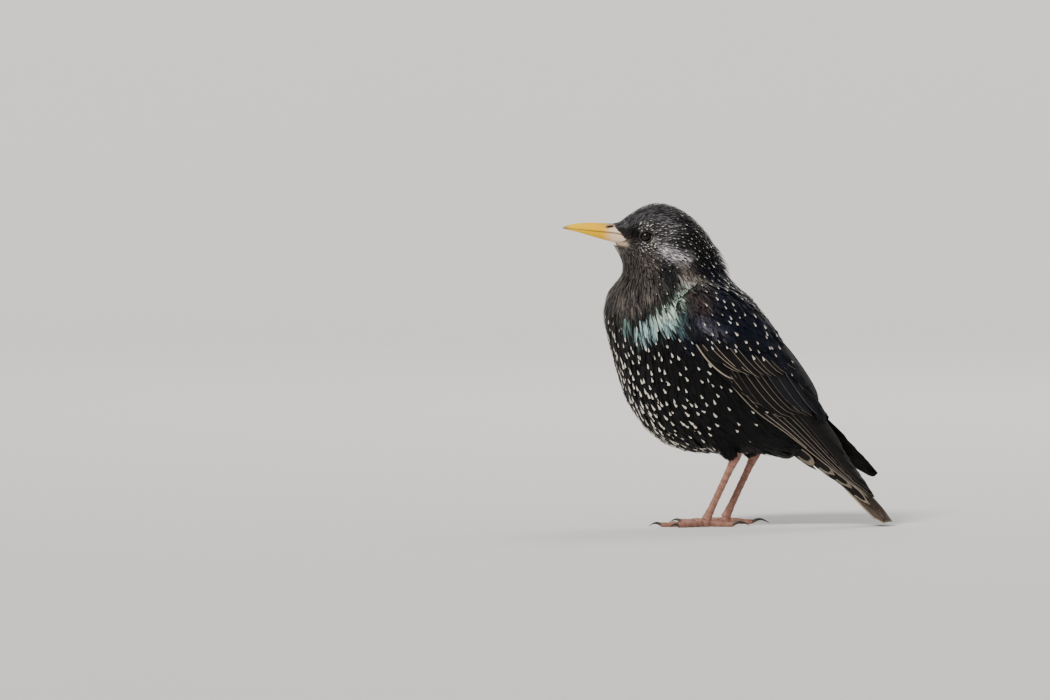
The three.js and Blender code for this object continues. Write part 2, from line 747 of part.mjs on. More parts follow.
const whole = bodyBetween(0, STATIONS.length - 1);
const knives = [HEAD_ENDS_AT, NECK_ENDS_AT, TORSO_ENDS_AT].map(bodyKnife);
const height = (piece) => piece.boundingBox().min[2] + piece.boundingBox().max[2];
const lengths = cut(whole, ...knives).decompose().sort((a, b) => height(b) - height(a));
const bodyCut = bodyBetween(0, STATIONS.length - 1, GAP);
const pastRump = bodyCut.translate(tailAlong.clone().multiplyScalar(GAP).toArray());
const thighCut = bodyBetween(0, STATIONS.length - 1, 2 * GAP);

add("head", head(lengths[0]), MATERIALS.plumage);
add("neck", lengths[1], MATERIALS.plumage);
add("torso", lengths[2], MATERIALS.plumage);
add("rump", join([lengths[3], ...undertailCoverts()]), MATERIALS.plumage);
add("bill_upper", cut(billHalf(1, 0), nostril(LEFT), nostril(RIGHT)), MATERIALS.bill);
add("bill_lower", billHalf(-1, 0), MATERIALS.bill);
add("tail", cut(tail(), bodyCut, pastRump), MATERIALS.wingFeathers);

for (const [label, side] of SIDES) {
  add(`eye_${label}`, eyeBall(side), MATERIALS.eye);
  add(`wing_${label}`, cut(wing(side), bodyCut, tailBlock(GAP), otherSide(side)), MATERIALS.wingFeathers);
  add(`thigh_${label}`, cut(thigh(side), thighCut, tarsus(side, GAP)), MATERIALS.plumage);
  add(`tarsus_${label}`, cut(tarsus(side), foot(side, GAP), bodyCut), MATERIALS.leg);
  add(`foot_${label}`, cut(foot(side), floor), MATERIALS.leg);
  const middle = TOES.find(({ name }) => name === "middle");
  const toeKnives = [foot(side, GAP), tarsus(side, GAP), floor];
  for (const size of TOES) {
    const knives = size === middle ? toeKnives : [...toeKnives, toe(side, middle, GAP)];
    add(`toe_${size.name}_${label}`, cut(toe(side, size), ...knives), MATERIALS.leg);
    add(`claw_${size.name}_${label}`, cut(claw(side, size), floor), MATERIALS.claw);
  }
}

// The origin is the middle of the bird's outline, on the floor.
const outline = new THREE.Box3().setFromObject(bird);
bird.position.set(-(outline.min.x + outline.max.x) / 2, -(outline.min.y + outline.max.y) / 2, -outline.min.z);

export default bird;
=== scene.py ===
"""A common starling, life size, standing with folded wings.

The skin lies just under the frame's solids of flesh. Every feather is a vane of its own: small ones follow
the lie of the coat over the body, and the flight feathers, their coverts and the tail are laid in tiers.
Sizes are in millimetres in the bird's own profile, with X from bill to tail, Y across and Z up, and the
profile is placed on the frame.
"""

from __future__ import annotations

import logging
import math
from collections.abc import Callable
from dataclasses import dataclass, replace
from enum import Enum

import bpy
import numpy as np
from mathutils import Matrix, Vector
from mathutils.bvhtree import BVHTree
from mathutils.kdtree import KDTree

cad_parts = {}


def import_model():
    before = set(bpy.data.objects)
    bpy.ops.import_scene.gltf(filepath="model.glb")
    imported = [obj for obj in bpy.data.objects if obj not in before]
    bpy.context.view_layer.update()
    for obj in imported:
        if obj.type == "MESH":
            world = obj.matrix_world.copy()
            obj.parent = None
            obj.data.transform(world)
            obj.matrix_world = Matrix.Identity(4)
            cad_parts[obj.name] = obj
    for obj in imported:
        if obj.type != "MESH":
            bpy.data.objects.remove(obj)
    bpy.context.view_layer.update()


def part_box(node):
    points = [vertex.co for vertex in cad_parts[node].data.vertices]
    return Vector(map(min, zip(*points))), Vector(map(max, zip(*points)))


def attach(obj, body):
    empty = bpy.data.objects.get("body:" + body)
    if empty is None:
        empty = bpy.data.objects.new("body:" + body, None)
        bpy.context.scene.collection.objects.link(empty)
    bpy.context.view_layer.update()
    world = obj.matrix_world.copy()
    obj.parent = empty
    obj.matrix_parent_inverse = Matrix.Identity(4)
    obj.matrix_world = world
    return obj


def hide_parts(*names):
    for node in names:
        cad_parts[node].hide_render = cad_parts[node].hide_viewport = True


LOG = logging.getLogger("starling")
SEED = 11
MM = 0.001
BLACK = (0.0016, 0.0016, 0.0019)
ORIGIN = (0.0, 0.0, 0.0)

Triple = tuple[float, float, float]
Pair = tuple[float, float]
Form = tuple[np.ndarray, np.ndarray]
Socket = bpy.types.NodeSocket
Sockets = bpy.types.bpy_prop_collection


class Side(Enum):
    """One side of the bird, with the sign of its Y and the letter in its node names."""

    LEFT_SIDE = (-1.0, "l")
    RIGHT_SIDE = (1.0, "r")

    @property
    def sign(self) -> float:
        """The sign of Y on this side."""
        return self.value[0]

    @property
    def letter(self) -> str:
        """The letter that ends this side's node names."""
        return self.value[1]


class TipShape(Enum):
    """The outlines that a vane can have, as shares of its half-width from root to tip."""

    ROUND = (0.5, 0.82, 0.96, 1.0, 0.98, 0.88, 0.64, 0.2)
    LANCE = (0.5, 0.85, 1.0, 0.97, 0.84, 0.6, 0.32, 0.06)
    LONG = (0.6, 0.8, 0.93, 1.0, 1.0, 0.96, 0.8, 0.22)
    BLUNT = (0.6, 0.8, 0.93, 1.0, 1.0, 0.98, 0.9, 0.4)


def smoothstep(low: float, high: float, value: np.ndarray) -> np.ndarray:
    """Ease from 0 at low to 1 at high.

    Args:
        low: Where the step starts.
        high: Where it ends.
        value: Numbers to ease.

    Returns:
        The eased shares.
    """
    share = np.clip((value - low) / (high - low), 0.0, 1.0)
    return share * share * (3.0 - 2.0 * share)


def smooth_line(points: np.ndarray, share: np.ndarray) -> np.ndarray:
    """A centripetal Catmull-Rom curve through points, each of which takes an equal share of the curve.

    Args:
        points: The points, one row each.
        share: Where on the whole curve, from 0 to 1; any shape.

    Returns:
        One point for each share.
    """
    spans = len(points) - 1
    place = np.clip(share, 0.0, 1.0) * spans
    first = np.clip(place.astype(int), 0, spans - 1)
    t = (place - first)[..., None]
    padded = np.vstack([2 * points[0] - points[1], points, 2 * points[-1] - points[-2]])
    before, start, end, after = (padded[first + i] for i in range(4))
    gaps = np.maximum(np.linalg.norm(np.diff(padded, axis=0), axis=1) ** 0.5, 1e-4)
    g0, g1, g2 = (gaps[first + i][..., None] for i in range(3))
    leaving = ((start - before) / g0 - (end - before) / (g0 + g1) + (end - start) / g1) * g1
    arriving = ((end - start) / g1 - (after - start) / (g1 + g2) + (after - end) / g2) * g1
    square = -3 * start + 3 * end - 2 * leaving - arriving
    cube = 2 * start - 2 * end + leaving + arriving
    return start + leaving * t + square * t**2 + cube * t**3


def unit(vectors: np.ndarray) -> np.ndarray:
    """Vectors of length one, along the last axis."""
    return vectors / np.maximum(np.linalg.norm(vectors, axis=-1, keepdims=True), 1e-9)


@dataclass(frozen=True)
class Placing:
    """Where the bird's profile lies in the frame."""

    offset: np.ndarray

    @classmethod
    def from_frame(cls, bill_tip: float) -> Placing:
        """Read the offset from the bill's tip and the two eyes.

        Args:
            bill_tip: The bill tip's X in the profile, in millimetres.

        Returns:
            The placing.
        """
        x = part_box("bill_upper")[0].x / MM - bill_tip
        y = (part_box("eye_l")[0].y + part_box("eye_r")[1].y) / 2 / MM
        return cls(np.array([x, y, 0.0]))

    def to_frame(self, points: np.ndarray) -> np.ndarray:
        """Profile millimetres to frame metres."""
        return (points + self.offset) * MM

    def to_profile(self, points: np.ndarray) -> np.ndarray:
        """Frame metres to profile millimetres."""
        return points / MM - self.offset


def varied(draw: np.random.Generator, scope: Pair, shape: int | tuple[int, ...]) -> np.ndarray:
    """Random numbers within a scope, which is its least number and its breadth."""
    return scope[0] + scope[1] * draw.random(shape)


def unsettled(draw: np.random.Generator, breadth: float, shape: int | tuple[int, ...]) -> np.ndarray:
    """Random numbers on both sides of 0, over a breadth."""
    return breadth * (draw.random(shape) - 0.5)


def near_tree(places: np.ndarray) -> KDTree:
    """A tree that finds the nearest of some places."""
    tree = KDTree(len(places))
    for index, place in enumerate(places.tolist()):
        tree.insert(place, index)
    tree.balance()
    return tree


def between(ends: Pair | np.ndarray, share: np.ndarray) -> np.ndarray:
    """Values from the first end to the second, by a share of the way."""
    return ends[0] + share * (ends[1] - ends[0])


def link(name: str, data: bpy.types.ID) -> bpy.types.Object:
    """Make an object from its data and link it to the scene."""
    made = bpy.data.objects.new(name, data)
    bpy.context.scene.collection.objects.link(made)
    return made


def store(mesh: bpy.types.Mesh, name: str, values: np.ndarray, corners: np.ndarray | slice) -> None:
    """Keep values on a mesh: one number or a colour for each vertex, or a UV map from two columns.

    Args:
        mesh: The mesh.
        name: What the layer is called.
        values: A row for each vertex.
        corners: The row that each corner of a face takes, for a UV map.
    """
    values = values.astype(np.float32)
    if values.ndim == 1:
        mesh.attributes.new(name, "FLOAT", "POINT").data.foreach_set("value", values)
    elif values.shape[1] == 2:
        mesh.uv_layers.new(name=name).data.foreach_set("uv", values[corners].ravel())
    else:
        mesh.attributes.new(name, "FLOAT_COLOR", "POINT").data.foreach_set("color", values.ravel())


class MeshPiece:
    """A mesh being gathered as arrays and then made into one Blender object."""

    def __init__(self, placing: Placing) -> None:
        """Start empty, on a placing."""
        self.placing = placing
        self.points: list[np.ndarray] = []
        self.faces: list[np.ndarray] = []
        self.values: dict[str, list[np.ndarray]] = {}
        self.count = 0

    def add(self, points: np.ndarray, faces: np.ndarray, **values: np.ndarray) -> None:
        """Add vertices and faces of four corners, with values for each vertex.

        Args:
            points: Vertices in profile millimetres.
            faces: Rows of four vertex numbers.
            **values: A row for each vertex: two columns make a UV map, one a number, four a colour.
        """
        self.points.append(points)
        self.faces.append(faces + self.count)
        for name, array in values.items():
            self.values.setdefault(name, []).append(array)
        self.count += len(points)

    def build(self, name: str, material: bpy.types.Material) -> bpy.types.Object:
        """Make the object.

        Args:
            name: Its name.
            material: Its finish.

        Returns:
            The object, linked to the scene.
        """
        mesh = bpy.data.meshes.new(name)
        corners = np.vstack(self.faces).astype(np.int32).ravel()
        starts = np.arange(0, len(corners), 4, dtype=np.int32)
        mesh.vertices.add(self.count)
        mesh.vertices.foreach_set("co", self.placing.to_frame(np.vstack(self.points)).ravel())
        mesh.loops.add(len(corners))
        mesh.loops.foreach_set("vertex_index", corners)
        mesh.polygons.add(len(starts))
        mesh.polygons.foreach_set("loop_start", starts)
        mesh.update(calc_edges=True)
        mesh.shade_smooth()
        for key, parts in self.values.items():
            store(mesh, key, np.concatenate(parts), corners)
        mesh.materials.append(material)
        return link(name, mesh)


def grid_faces(rows: int, columns: int, wrap: bool = False, close: bool = False) -> np.ndarray:
    """Faces of a grid of vertices numbered row by row.

    Args:
        rows: Number of rows of vertices.
        columns: Number of columns of vertices.
        wrap: Whether the last column joins the first.
        close: Whether the last row joins the first.

    Returns:
        Rows of four vertex numbers.
    """
    down, across = np.arange(rows - (not close)), np.arange(columns - (not wrap))
    row, column = np.meshgrid(down, across, indexing="ij")
    near, far, after = row * columns, (row + 1) % rows * columns, (column + 1) % columns
    return np.stack([near + column, near + after, far + after, far + column], axis=-1).reshape(-1, 4)


def shell_faces(rows: int, columns: int) -> np.ndarray:
    """Faces of a closed shell of two grids, one over the other.

    Args:
        rows: Rows of vertices in each grid.
        columns: Columns of vertices in each grid.

    Returns:
        Rows of four vertex numbers: the upper grid, the lower one and the border between them.
    """
    upper, size = grid_faces(rows, columns), rows * columns
    right = np.arange(1, rows) * columns + columns - 1
    last = (rows - 1) * columns + np.arange(columns - 2, -1, -1)
    left = np.arange(rows - 2, 0, -1) * columns
    loop = np.concatenate([np.arange(columns), right, last, left])
    after = np.roll(loop, -1)
    rim = np.stack([after, loop, loop + size, after + size], axis=-1)
    return np.vstack([upper, upper[:, ::-1] + size, rim])


def close_ends(rings: np.ndarray) -> np.ndarray:
    """Rings of vertices with both ends drawn together in the middle of the end ring."""
    ends = [np.broadcast_to(rings[end].mean(axis=0), (1, *rings.shape[1:])) for end in (0, -1)]
    return np.concatenate([ends[0], rings, ends[1]])


@dataclass
class VaneSet:
    """Many vanes of one kind: arrays of vanes by rows by columns."""

    top: np.ndarray
    across: np.ndarray
    before_tip: np.ndarray
    edge: np.ndarray
    bake: np.ndarray
    spot: np.ndarray
    shade: np.ndarray
    tint: np.ndarray
    under: np.ndarray | None = None
    bake_under: np.ndarray | None = None

    def face(self, outward: np.ndarray) -> None:
        """Turn every vane's upper face outwards.

        Args:
            outward: The way out for each vane.
        """
        row, column = self.top.shape[1] // 2, self.top.shape[2] // 2
        middle = self.top[:, row, column]
        across = self.top[:, row, column + 1] - middle
        along = self.top[:, row + 1, column] - middle
        turned = np.sum(np.cross(across, along) * outward, axis=1) < 0
        for name in ("top", "across", "before_tip", "edge", "bake", "under", "bake_under"):
            array = getattr(self, name)
            if array is not None:
                array = array.copy()
                array[turned] = array[turned][:, :, ::-1]
                setattr(self, name, array)

    def pour(self, piece: MeshPiece) -> None:
        """Add the vanes to a piece: sheets, or closed bodies where they have an under face."""
        number, rows, columns, _ = self.top.shape
        layers, maps, faces = [self.top], [self.bake], grid_faces(rows, columns)
        if self.under is not None:
            layers, maps = [self.top, self.under], [self.bake, self.bake_under]
            faces = shell_faces(rows, columns)
        points = np.concatenate([layer.reshape(number, -1, 3) for layer in layers], axis=1)
        each = points.shape[1]
        starts = (np.arange(number) * each)[:, None, None]

        def spread(values: np.ndarray) -> np.ndarray:
            """Repeat values for each layer and flatten them."""
            return np.tile(values.reshape(number, -1), (1, len(layers))).ravel()

        piece.add(
            points.reshape(-1, 3),
            (faces[None] + starts).reshape(-1, 4),
            Vane=np.stack([spread(self.across), spread(self.before_tip)], axis=-1),
            OFBake=np.concatenate([part.reshape(number, -1, 2) for part in maps], axis=1).reshape(-1, 2),
            edge=spread(self.edge),
            **{name: np.repeat(getattr(self, name), each, axis=0) for name in ("spot", "shade", "tint")},
        )


class Nodes:
    """A node tree that is being built."""

    def __init__(self, tree: bpy.types.NodeTree) -> None:
        """Work on a tree."""
        self.tree = tree

    def node(self, kind: str, **settings: object) -> bpy.types.Node:
        """Add a node of a kind with its settings."""
        made = self.tree.nodes.new(kind)
        for key, value in settings.items():
            setattr(made, key, value)
        return made

    def feed(self, socket: Socket, value: object) -> None:
        """Link a socket to another one, or set its number or colour."""
        if isinstance(value, bpy.types.NodeSocket):
            self.tree.links.new(value, socket)
        elif isinstance(value, tuple) and len(value) == 3 and socket.type == "RGBA":
            socket.default_value = (*value, 1.0)
        else:
            socket.default_value = value

    def math(self, operation: str, *values: object, clamp: bool = False) -> Socket:
        """Work out a number from one, two or three others."""
        made = self.node("ShaderNodeMath", operation=operation, use_clamp=clamp)
        for socket, value in zip(made.inputs, values):
            self.feed(socket, value)
        return made.outputs[0]

    def times(self, first: object, second: object) -> Socket:
        """Multiply two numbers."""
        return self.math("MULTIPLY", first, second)

    def scaled(self, value: object, factor: object, added: object) -> Socket:
        """Multiply a number by a factor and add another."""
        return self.math("MULTIPLY_ADD", value, factor, added)

    def moved(self, value: object, noise: object, reach: float) -> Socket:
        """Move a number up and down by noise, as far as half the reach."""
        return self.scaled(self.math("SUBTRACT", noise, 0.5), reach, value)

    def parts(self, vector: object) -> tuple[Socket, Socket]:
        """The X and the Y of a vector."""
        made = self.node("ShaderNodeSeparateXYZ")
        self.feed(made.inputs[0], vector)
        return made.outputs["X"], made.outputs["Y"]

    def noise(self, place: object, scale: object, detail: float) -> Socket:
        """Soft noise from 0 to 1 at a place."""
        made = self.node("ShaderNodeTexNoise")
        for name, value in (("Vector", place), ("Scale", scale), ("Detail", detail)):
            self.feed(made.inputs[name], value)
        return made.outputs["Fac"]


class EffectGroups:
    """The shader node groups that several finishes share."""

    def __init__(self) -> None:
        """Build the groups once."""
        self.barbs = self._barbs()
        self.mottle = self._mottle()

    @staticmethod
    def _open(name: str, output: str, **numbers: float) -> tuple[Nodes, Sockets, Socket]:
        """Start a group that reads a Place and some numbers and gives one number.

        Args:
            name: The group's name.
            output: The name of what it gives.
            **numbers: The numbers that it reads, with their defaults.

        Returns:
            Its nodes, the sockets that hold what it reads, and the socket that takes what it gives.
        """
        nodes = Nodes(bpy.data.node_groups.new(name, "ShaderNodeTree"))
        sockets = nodes.tree.interface
        sockets.new_socket("Place", in_out="INPUT", socket_type="NodeSocketVector")
        for label, default in numbers.items():
            socket = sockets.new_socket(label, in_out="INPUT", socket_type="NodeSocketFloat")
            socket.default_value = default
        sockets.new_socket(output, in_out="OUTPUT", socket_type="NodeSocketFloat")
        return nodes, nodes.node("NodeGroupInput").outputs, nodes.node("NodeGroupOutput").inputs[0]

    def _barbs(self) -> bpy.types.NodeTree:
        """Fine slanted ridges that run from a vane's quill to its edges."""
        nodes, given, height = self._open("Barbs", "Height", Pitch=0.3, Slant=1.2)
        across, before_tip = nodes.parts(given["Place"])
        wobble = nodes.noise(given["Place"], 0.9, 2.0)
        slanted = nodes.times(nodes.math("ABSOLUTE", across), given["Slant"])
        along = nodes.math("ADD", nodes.math("ADD", before_tip, slanted), wobble)
        turns = nodes.times(nodes.math("DIVIDE", along, given["Pitch"]), 2 * math.pi)
        nodes.feed(height, nodes.scaled(nodes.math("SINE", turns), 0.5, 0.5))
        return nodes.tree

    def _mottle(self) -> bpy.types.NodeTree:
        """Uneven patches of two sizes."""
        nodes, given, mask = self._open("Mottle", "Mask", Scale=300.0)
        coarse = nodes.noise(given["Place"], given["Scale"], 4.0)
        fine = nodes.noise(given["Place"], nodes.times(given["Scale"], 5.0), 4.0)
        nodes.feed(mask, nodes.scaled(fine, 0.4, nodes.times(coarse, 0.6)))
        return nodes.tree


class Recipe(Nodes):
    """Builds one material: a Principled shader and the nodes that feed it."""

    def __init__(self, name: str, effects: EffectGroups) -> None:
        """Start the material of a name, which may take the shared effects."""
        self.material = bpy.data.materials.new(name)
        self.material.use_nodes = True
        super().__init__(self.material.node_tree)
        self.shader = self.tree.nodes["Principled BSDF"]
        self.effects = effects

    def set(self, **inputs: object) -> bpy.types.Material:
        """Feed the shader's sockets, named with underscores for spaces, and give the material."""
        for key, value in inputs.items():
            self.feed(self.shader.inputs[key.replace("_", " ")], value)
        return self.material

    def step(self, value: object, low: float, high: float) -> Socket:
        """Ease a number from 0 at low to 1 at high."""
        made = self.node("ShaderNodeMapRange", interpolation_type="SMOOTHSTEP")
        for name, number in (("Value", value), ("From Min", low), ("From Max", high)):
            self.feed(made.inputs[name], number)
        return made.outputs["Result"]

    def mix(self, share: object, first: object, second: object) -> Socket:
        """Mix two colours by a share."""
        made = self.node("ShaderNodeMix", data_type="RGBA")
        for index, value in ((0, share), (6, first), (7, second)):
            self.feed(made.inputs[index], value)
        return made.outputs[2]

    def value(self, name: str) -> Socket:
        """Read a number stored on the mesh."""
        return self.node("ShaderNodeAttribute", attribute_name=name).outputs["Fac"]

    def colour(self, name: str) -> tuple[Socket, Socket]:
        """Read a colour and the fourth number with it, both stored on the mesh."""
        made = self.node("ShaderNodeAttribute", attribute_name=name)
        return made.outputs["Color"], made.outputs["Alpha"]

    def vane_place(self) -> tuple[Socket, Socket, Socket]:
        """Read the place on a vane: the map itself, millimetres across and millimetres before the tip."""
        place = self.node("ShaderNodeUVMap", uv_map="Vane").outputs["UV"]
        return place, *self.parts(place)

    def surface_place(self) -> Socket:
        """The place on the object, in metres."""
        return self.node("ShaderNodeTexCoord").outputs["Object"]

    def streaks(self, across: object, along: object, turn: object) -> Socket:
        """Noise from 0 to 1 drawn out along a vane, and different for each turn."""
        made = self.node("ShaderNodeCombineXYZ")
        for socket, value, factor in zip(made.inputs, (across, along, turn), (3.4, 0.55, 60.0)):
            self.feed(socket, self.times(value, factor))
        return self.noise(made.outputs[0], 1.0, 3.0)

    def barbs(self, place: object, pitch: float, slant: float) -> Socket:
        """The shared effect of barbs."""
        return self._effect(self.effects.barbs, Place=place, Pitch=pitch, Slant=slant)

    def mottle(self, scale: float) -> Socket:
        """The shared effect of uneven patches."""
        return self._effect(self.effects.mottle, Place=self.surface_place(), Scale=scale)

    def _effect(self, group: bpy.types.NodeTree, **inputs: object) -> Socket:
        """Place a shared effect and feed its inputs."""
        made = self.node("ShaderNodeGroup", node_tree=group)
        for key, value in inputs.items():
            self.feed(made.inputs[key], value)
        return made.outputs[0]

    def cells(self, scale: float, feature: str = "F1") -> Socket:
        """The distance from the middle or the edge of one of many small cells."""
        made = self.node("ShaderNodeTexVoronoi", feature=feature)
        self.feed(made.inputs["Vector"], self.surface_place())
        self.feed(made.inputs["Scale"], scale)
        return made.outputs["Distance"]

    def bump(self, height: object, distance: float, strength: float) -> None:
        """Raise the surface by a height.

        Args:
            height: The height socket, from 0 to 1.
            distance: What 1 stands for, in millimetres.
            strength: Share of the effect.
        """
        made = self.node("ShaderNodeBump")
        for name, value in (("Height", height), ("Distance", distance * MM), ("Strength", strength)):
            self.feed(made.inputs[name], value)
        self.feed(self.shader.inputs["Normal"], made.outputs["Normal"])


@dataclass(frozen=True)
class CoatFinish:
    """Glossy black body feathers: streaks of the local tint, which are painted sheen where the tint is a
    sheen stroke or the head's grey, a pale wedge at the tip, and fine barbs.
    """

    name: str = "body_feather"
    spot_colour: Triple = (0.80, 0.75, 0.65)
    small_spot: Triple = (0.40, 0.38, 0.35)
    worn_spot: Triple = (0.42, 0.37, 0.30)
    spot_half: Pair = (0.30, 0.64)
    spot_taper: float = 0.85
    quill: Triple = (0.005, 0.0045, 0.0045)
    lit_from: Pair = (0.46, 0.9)
    roughness: Pair = (0.30, 0.50)
    specular: float = 0.13
    barb_pitch: float = 0.34
    barb_slant: float = 1.5

    def build(self, effects: EffectGroups) -> bpy.types.Material:
        """Make the material. A vane's spot is the length of its pale wedge in millimetres."""
        recipe = Recipe(self.name, effects)
        place, across, before_tip = recipe.vane_place()
        spot, shade = recipe.value("spot"), recipe.value("shade")
        tint, gloss = recipe.colour("tint")
        barbs = recipe.barbs(place, self.barb_pitch, self.barb_slant)
        streaks = recipe.streaks(across, before_tip, shade)
        # The tint is painted in streaks that grow with the gloss. Over the sheen strokes and the head's grey
        # these streaks are painted sheen, beside the real gloss that Metallic gives.
        lit = recipe.scaled(gloss, 0.3, recipe.scaled(shade, 0.3, streaks))
        sheen = recipe.step(lit, *self.lit_from)
        soft = recipe.mix(recipe.times(barbs, 0.3), recipe.mix(sheen, BLACK, tint), self.quill)
        size = recipe.math("MAXIMUM", spot, 0.5)
        share = recipe.math("DIVIDE", before_tip, size)
        left = recipe.math("MAXIMUM", recipe.math("SUBTRACT", 1.0, share), 0.0)
        growing, most = self.spot_half
        widest = recipe.math("MINIMUM", recipe.scaled(size, growing, -0.11), most)
        half = recipe.times(widest, recipe.math("POWER", left, self.spot_taper))
        away = recipe.math("DIVIDE", recipe.math("ABSOLUTE", across), recipe.math("MAXIMUM", half, 0.01))
        there = recipe.times(recipe.step(share, 1.0, 0.9), recipe.step(spot, 0.05, 0.15))
        mask = recipe.times(recipe.step(recipe.moved(away, streaks, 0.7), 1.15, 0.8), there)
        lightest = recipe.mix(recipe.step(spot, 1.0, 1.8), self.small_spot, self.spot_colour)
        pale = recipe.mix(recipe.times(barbs, 0.2), lightest, self.worn_spot)
        smooth, rough = self.roughness
        recipe.bump(barbs, 0.06, 0.6)
        return recipe.set(
            Base_Color=recipe.mix(mask, soft, pale),
            Metallic=recipe.times(recipe.math("SUBTRACT", 1.0, mask), recipe.times(sheen, gloss)),
            Roughness=recipe.scaled(barbs, rough - smooth, smooth),
            Specular_IOR_Level=self.specular,
        )


@dataclass(frozen=True)
class FlightFinish:
    """Near-black flight feathers with a thin pale edge on the outer vane and a dark quill."""

    name: str = "flight_feather"
    buff: Triple = (0.56, 0.47, 0.35)
    grey: Triple = (0.11, 0.11, 0.12)
    quill: Triple = (0.0025, 0.002, 0.002)
    roughness: float = 0.42
    specular: float = 0.16
    barb_pitch: float = 0.42
    barb_slant: float = 1.1

    def build(self, effects: EffectGroups) -> bpy.types.Material:
        """Make the material. A vane's spot is its edge's width, and its shade is how buff that edge is."""
        recipe = Recipe(self.name, effects)
        place, across, before_tip = recipe.vane_place()
        edge, width, shade = (recipe.value(name) for name in ("edge", "spot", "shade"))
        tint, turn = recipe.colour("tint")
        barbs = recipe.barbs(place, self.barb_pitch, self.barb_slant)
        streaks = recipe.streaks(across, before_tip, turn)
        mottled = recipe.mix(recipe.times(recipe.step(streaks, 0.3, 0.75), 0.6), tint, self.quill)
        where = recipe.math("MAXIMUM", recipe.step(across, 0.3, -0.3), recipe.step(before_tip, 2.2, 0.4))
        reach = recipe.math("DIVIDE", recipe.moved(edge, streaks, 0.22), recipe.math("MAXIMUM", width, 0.02))
        line = recipe.times(recipe.step(reach, 1.15, 0.75), where)
        fringe = recipe.times(line, recipe.step(width, 0.02, 0.1))
        wear_and_groove_shade = recipe.math("MULTIPLY", fringe, recipe.scaled(streaks, 0.8, 0.35), clamp=True)
        shaft = recipe.step(recipe.math("ABSOLUTE", across), 0.16, 0.08)
        with_shaft = recipe.mix(recipe.times(shaft, 0.7), mottled, self.quill)
        recipe.bump(recipe.scaled(shaft, 0.8, barbs), 0.07, 0.6)
        return recipe.set(
            Base_Color=recipe.mix(wear_and_groove_shade, with_shaft, recipe.mix(shade, self.grey, self.buff)),
            Roughness=self.roughness,
            Specular_IOR_Level=self.specular,
        )


@dataclass(frozen=True)
class SkinFinish:
    """Dark skin and down under the coat, with the coat's tints, its painted sheen among them, and pale
    flecks.
    """

    name: str = "down_and_skin"
    pale: Triple = (0.30, 0.27, 0.23)
    scale: float = 420.0
    roughness: float = 0.8
    specular: float = 0.2

    def build(self, effects: EffectGroups) -> bpy.types.Material:
        """Make the material. The fourth number of the tint is the share of pale flecks."""
        recipe = Recipe(self.name, effects)
        tint, flecked = recipe.colour("tint")
        mottle = recipe.mottle(self.scale)
        flecks = recipe.math("LESS_THAN", recipe.cells(self.scale), recipe.times(flecked, 0.8))
        dark = recipe.mix(recipe.times(mottle, 0.5), tint, BLACK)
        recipe.bump(mottle, 0.25, 0.7)
        return recipe.set(
            Base_Color=recipe.mix(flecks, dark, self.pale),
            Roughness=self.roughness,
            Specular_IOR_Level=self.specular,
        )


@dataclass(frozen=True)
class BillFinish:
    """Yellow horn that pales to a pinkish white at its base and browns at the very tip."""

    name: str = "bill_horn"
    yellow: Triple = (1.0, 0.55, 0.004)
    light: Triple = (1.0, 0.62, 0.012)
    pale: Triple = (0.95, 0.71, 0.50)
    grey: Triple = (0.16, 0.125, 0.10)
    tip: Triple = (0.30, 0.20, 0.09)
    # Painted shade: the near-black nostril opening and the darker mouth line where the two halves meet.
    hole: Triple = (0.012, 0.009, 0.008)
    seam: Triple = (0.12, 0.06, 0.04)
    roughness: float = 0.34
    specular: float = 0.08

    def build(self, effects: EffectGroups) -> bpy.types.Material:
        """Make the material from the shares that the bill stores: along, ridge, nostril and mouth."""
        recipe = Recipe(self.name, effects)
        mottle = recipe.mottle(500.0)
        along = recipe.moved(recipe.value("along"), mottle, 0.12)
        yellow = recipe.mix(recipe.step(along, 0.45, 0.95), self.yellow, self.light)
        horn = recipe.mix(recipe.step(along, 0.22, 0.42), self.pale, yellow)
        ridged = recipe.mix(recipe.times(recipe.value("ridge"), 0.8), horn, self.grey)
        # The nostril and the mouth line are painted darker: painted shade in the opening and between the
        # halves.
        holed = recipe.mix(recipe.value("nostril"), ridged, self.hole)
        seamed = recipe.mix(recipe.value("mouth"), holed, self.seam)
        recipe.bump(mottle, 0.06, 0.5)
        return recipe.set(
            Base_Color=recipe.mix(recipe.step(along, 0.86, 1.0), seamed, self.tip),
            Roughness=recipe.scaled(mottle, 0.2, self.roughness),
            Specular_IOR_Level=self.specular,
        )


@dataclass(frozen=True)
class EyeFinish:
    """A wet, almost black brown iris round a black pupil."""

    name: str = "eye_wet"
    iris: Triple = (0.006, 0.0035, 0.0025)
    fibre: Triple = (0.012, 0.007, 0.005)
    roughness: float = 0.03
    specular: float = 0.32

    def build(self, effects: EffectGroups) -> bpy.types.Material:
        """Make the material from the distance to the eye's axis."""
        recipe = Recipe(self.name, effects)
        ring = recipe.value("ring")
        fibres = recipe.noise(recipe.surface_place(), 2600.0, 3.0)
        iris = recipe.mix(recipe.step(fibres, 0.3, 0.7), self.iris, self.fibre)
        seen = recipe.times(recipe.step(ring, 1.15, 1.3), recipe.step(ring, 2.25, 1.95))
        return recipe.set(
            Base_Color=recipe.mix(seen, BLACK, iris),
            Roughness=self.roughness,
            Specular_IOR_Level=self.specular,
        )


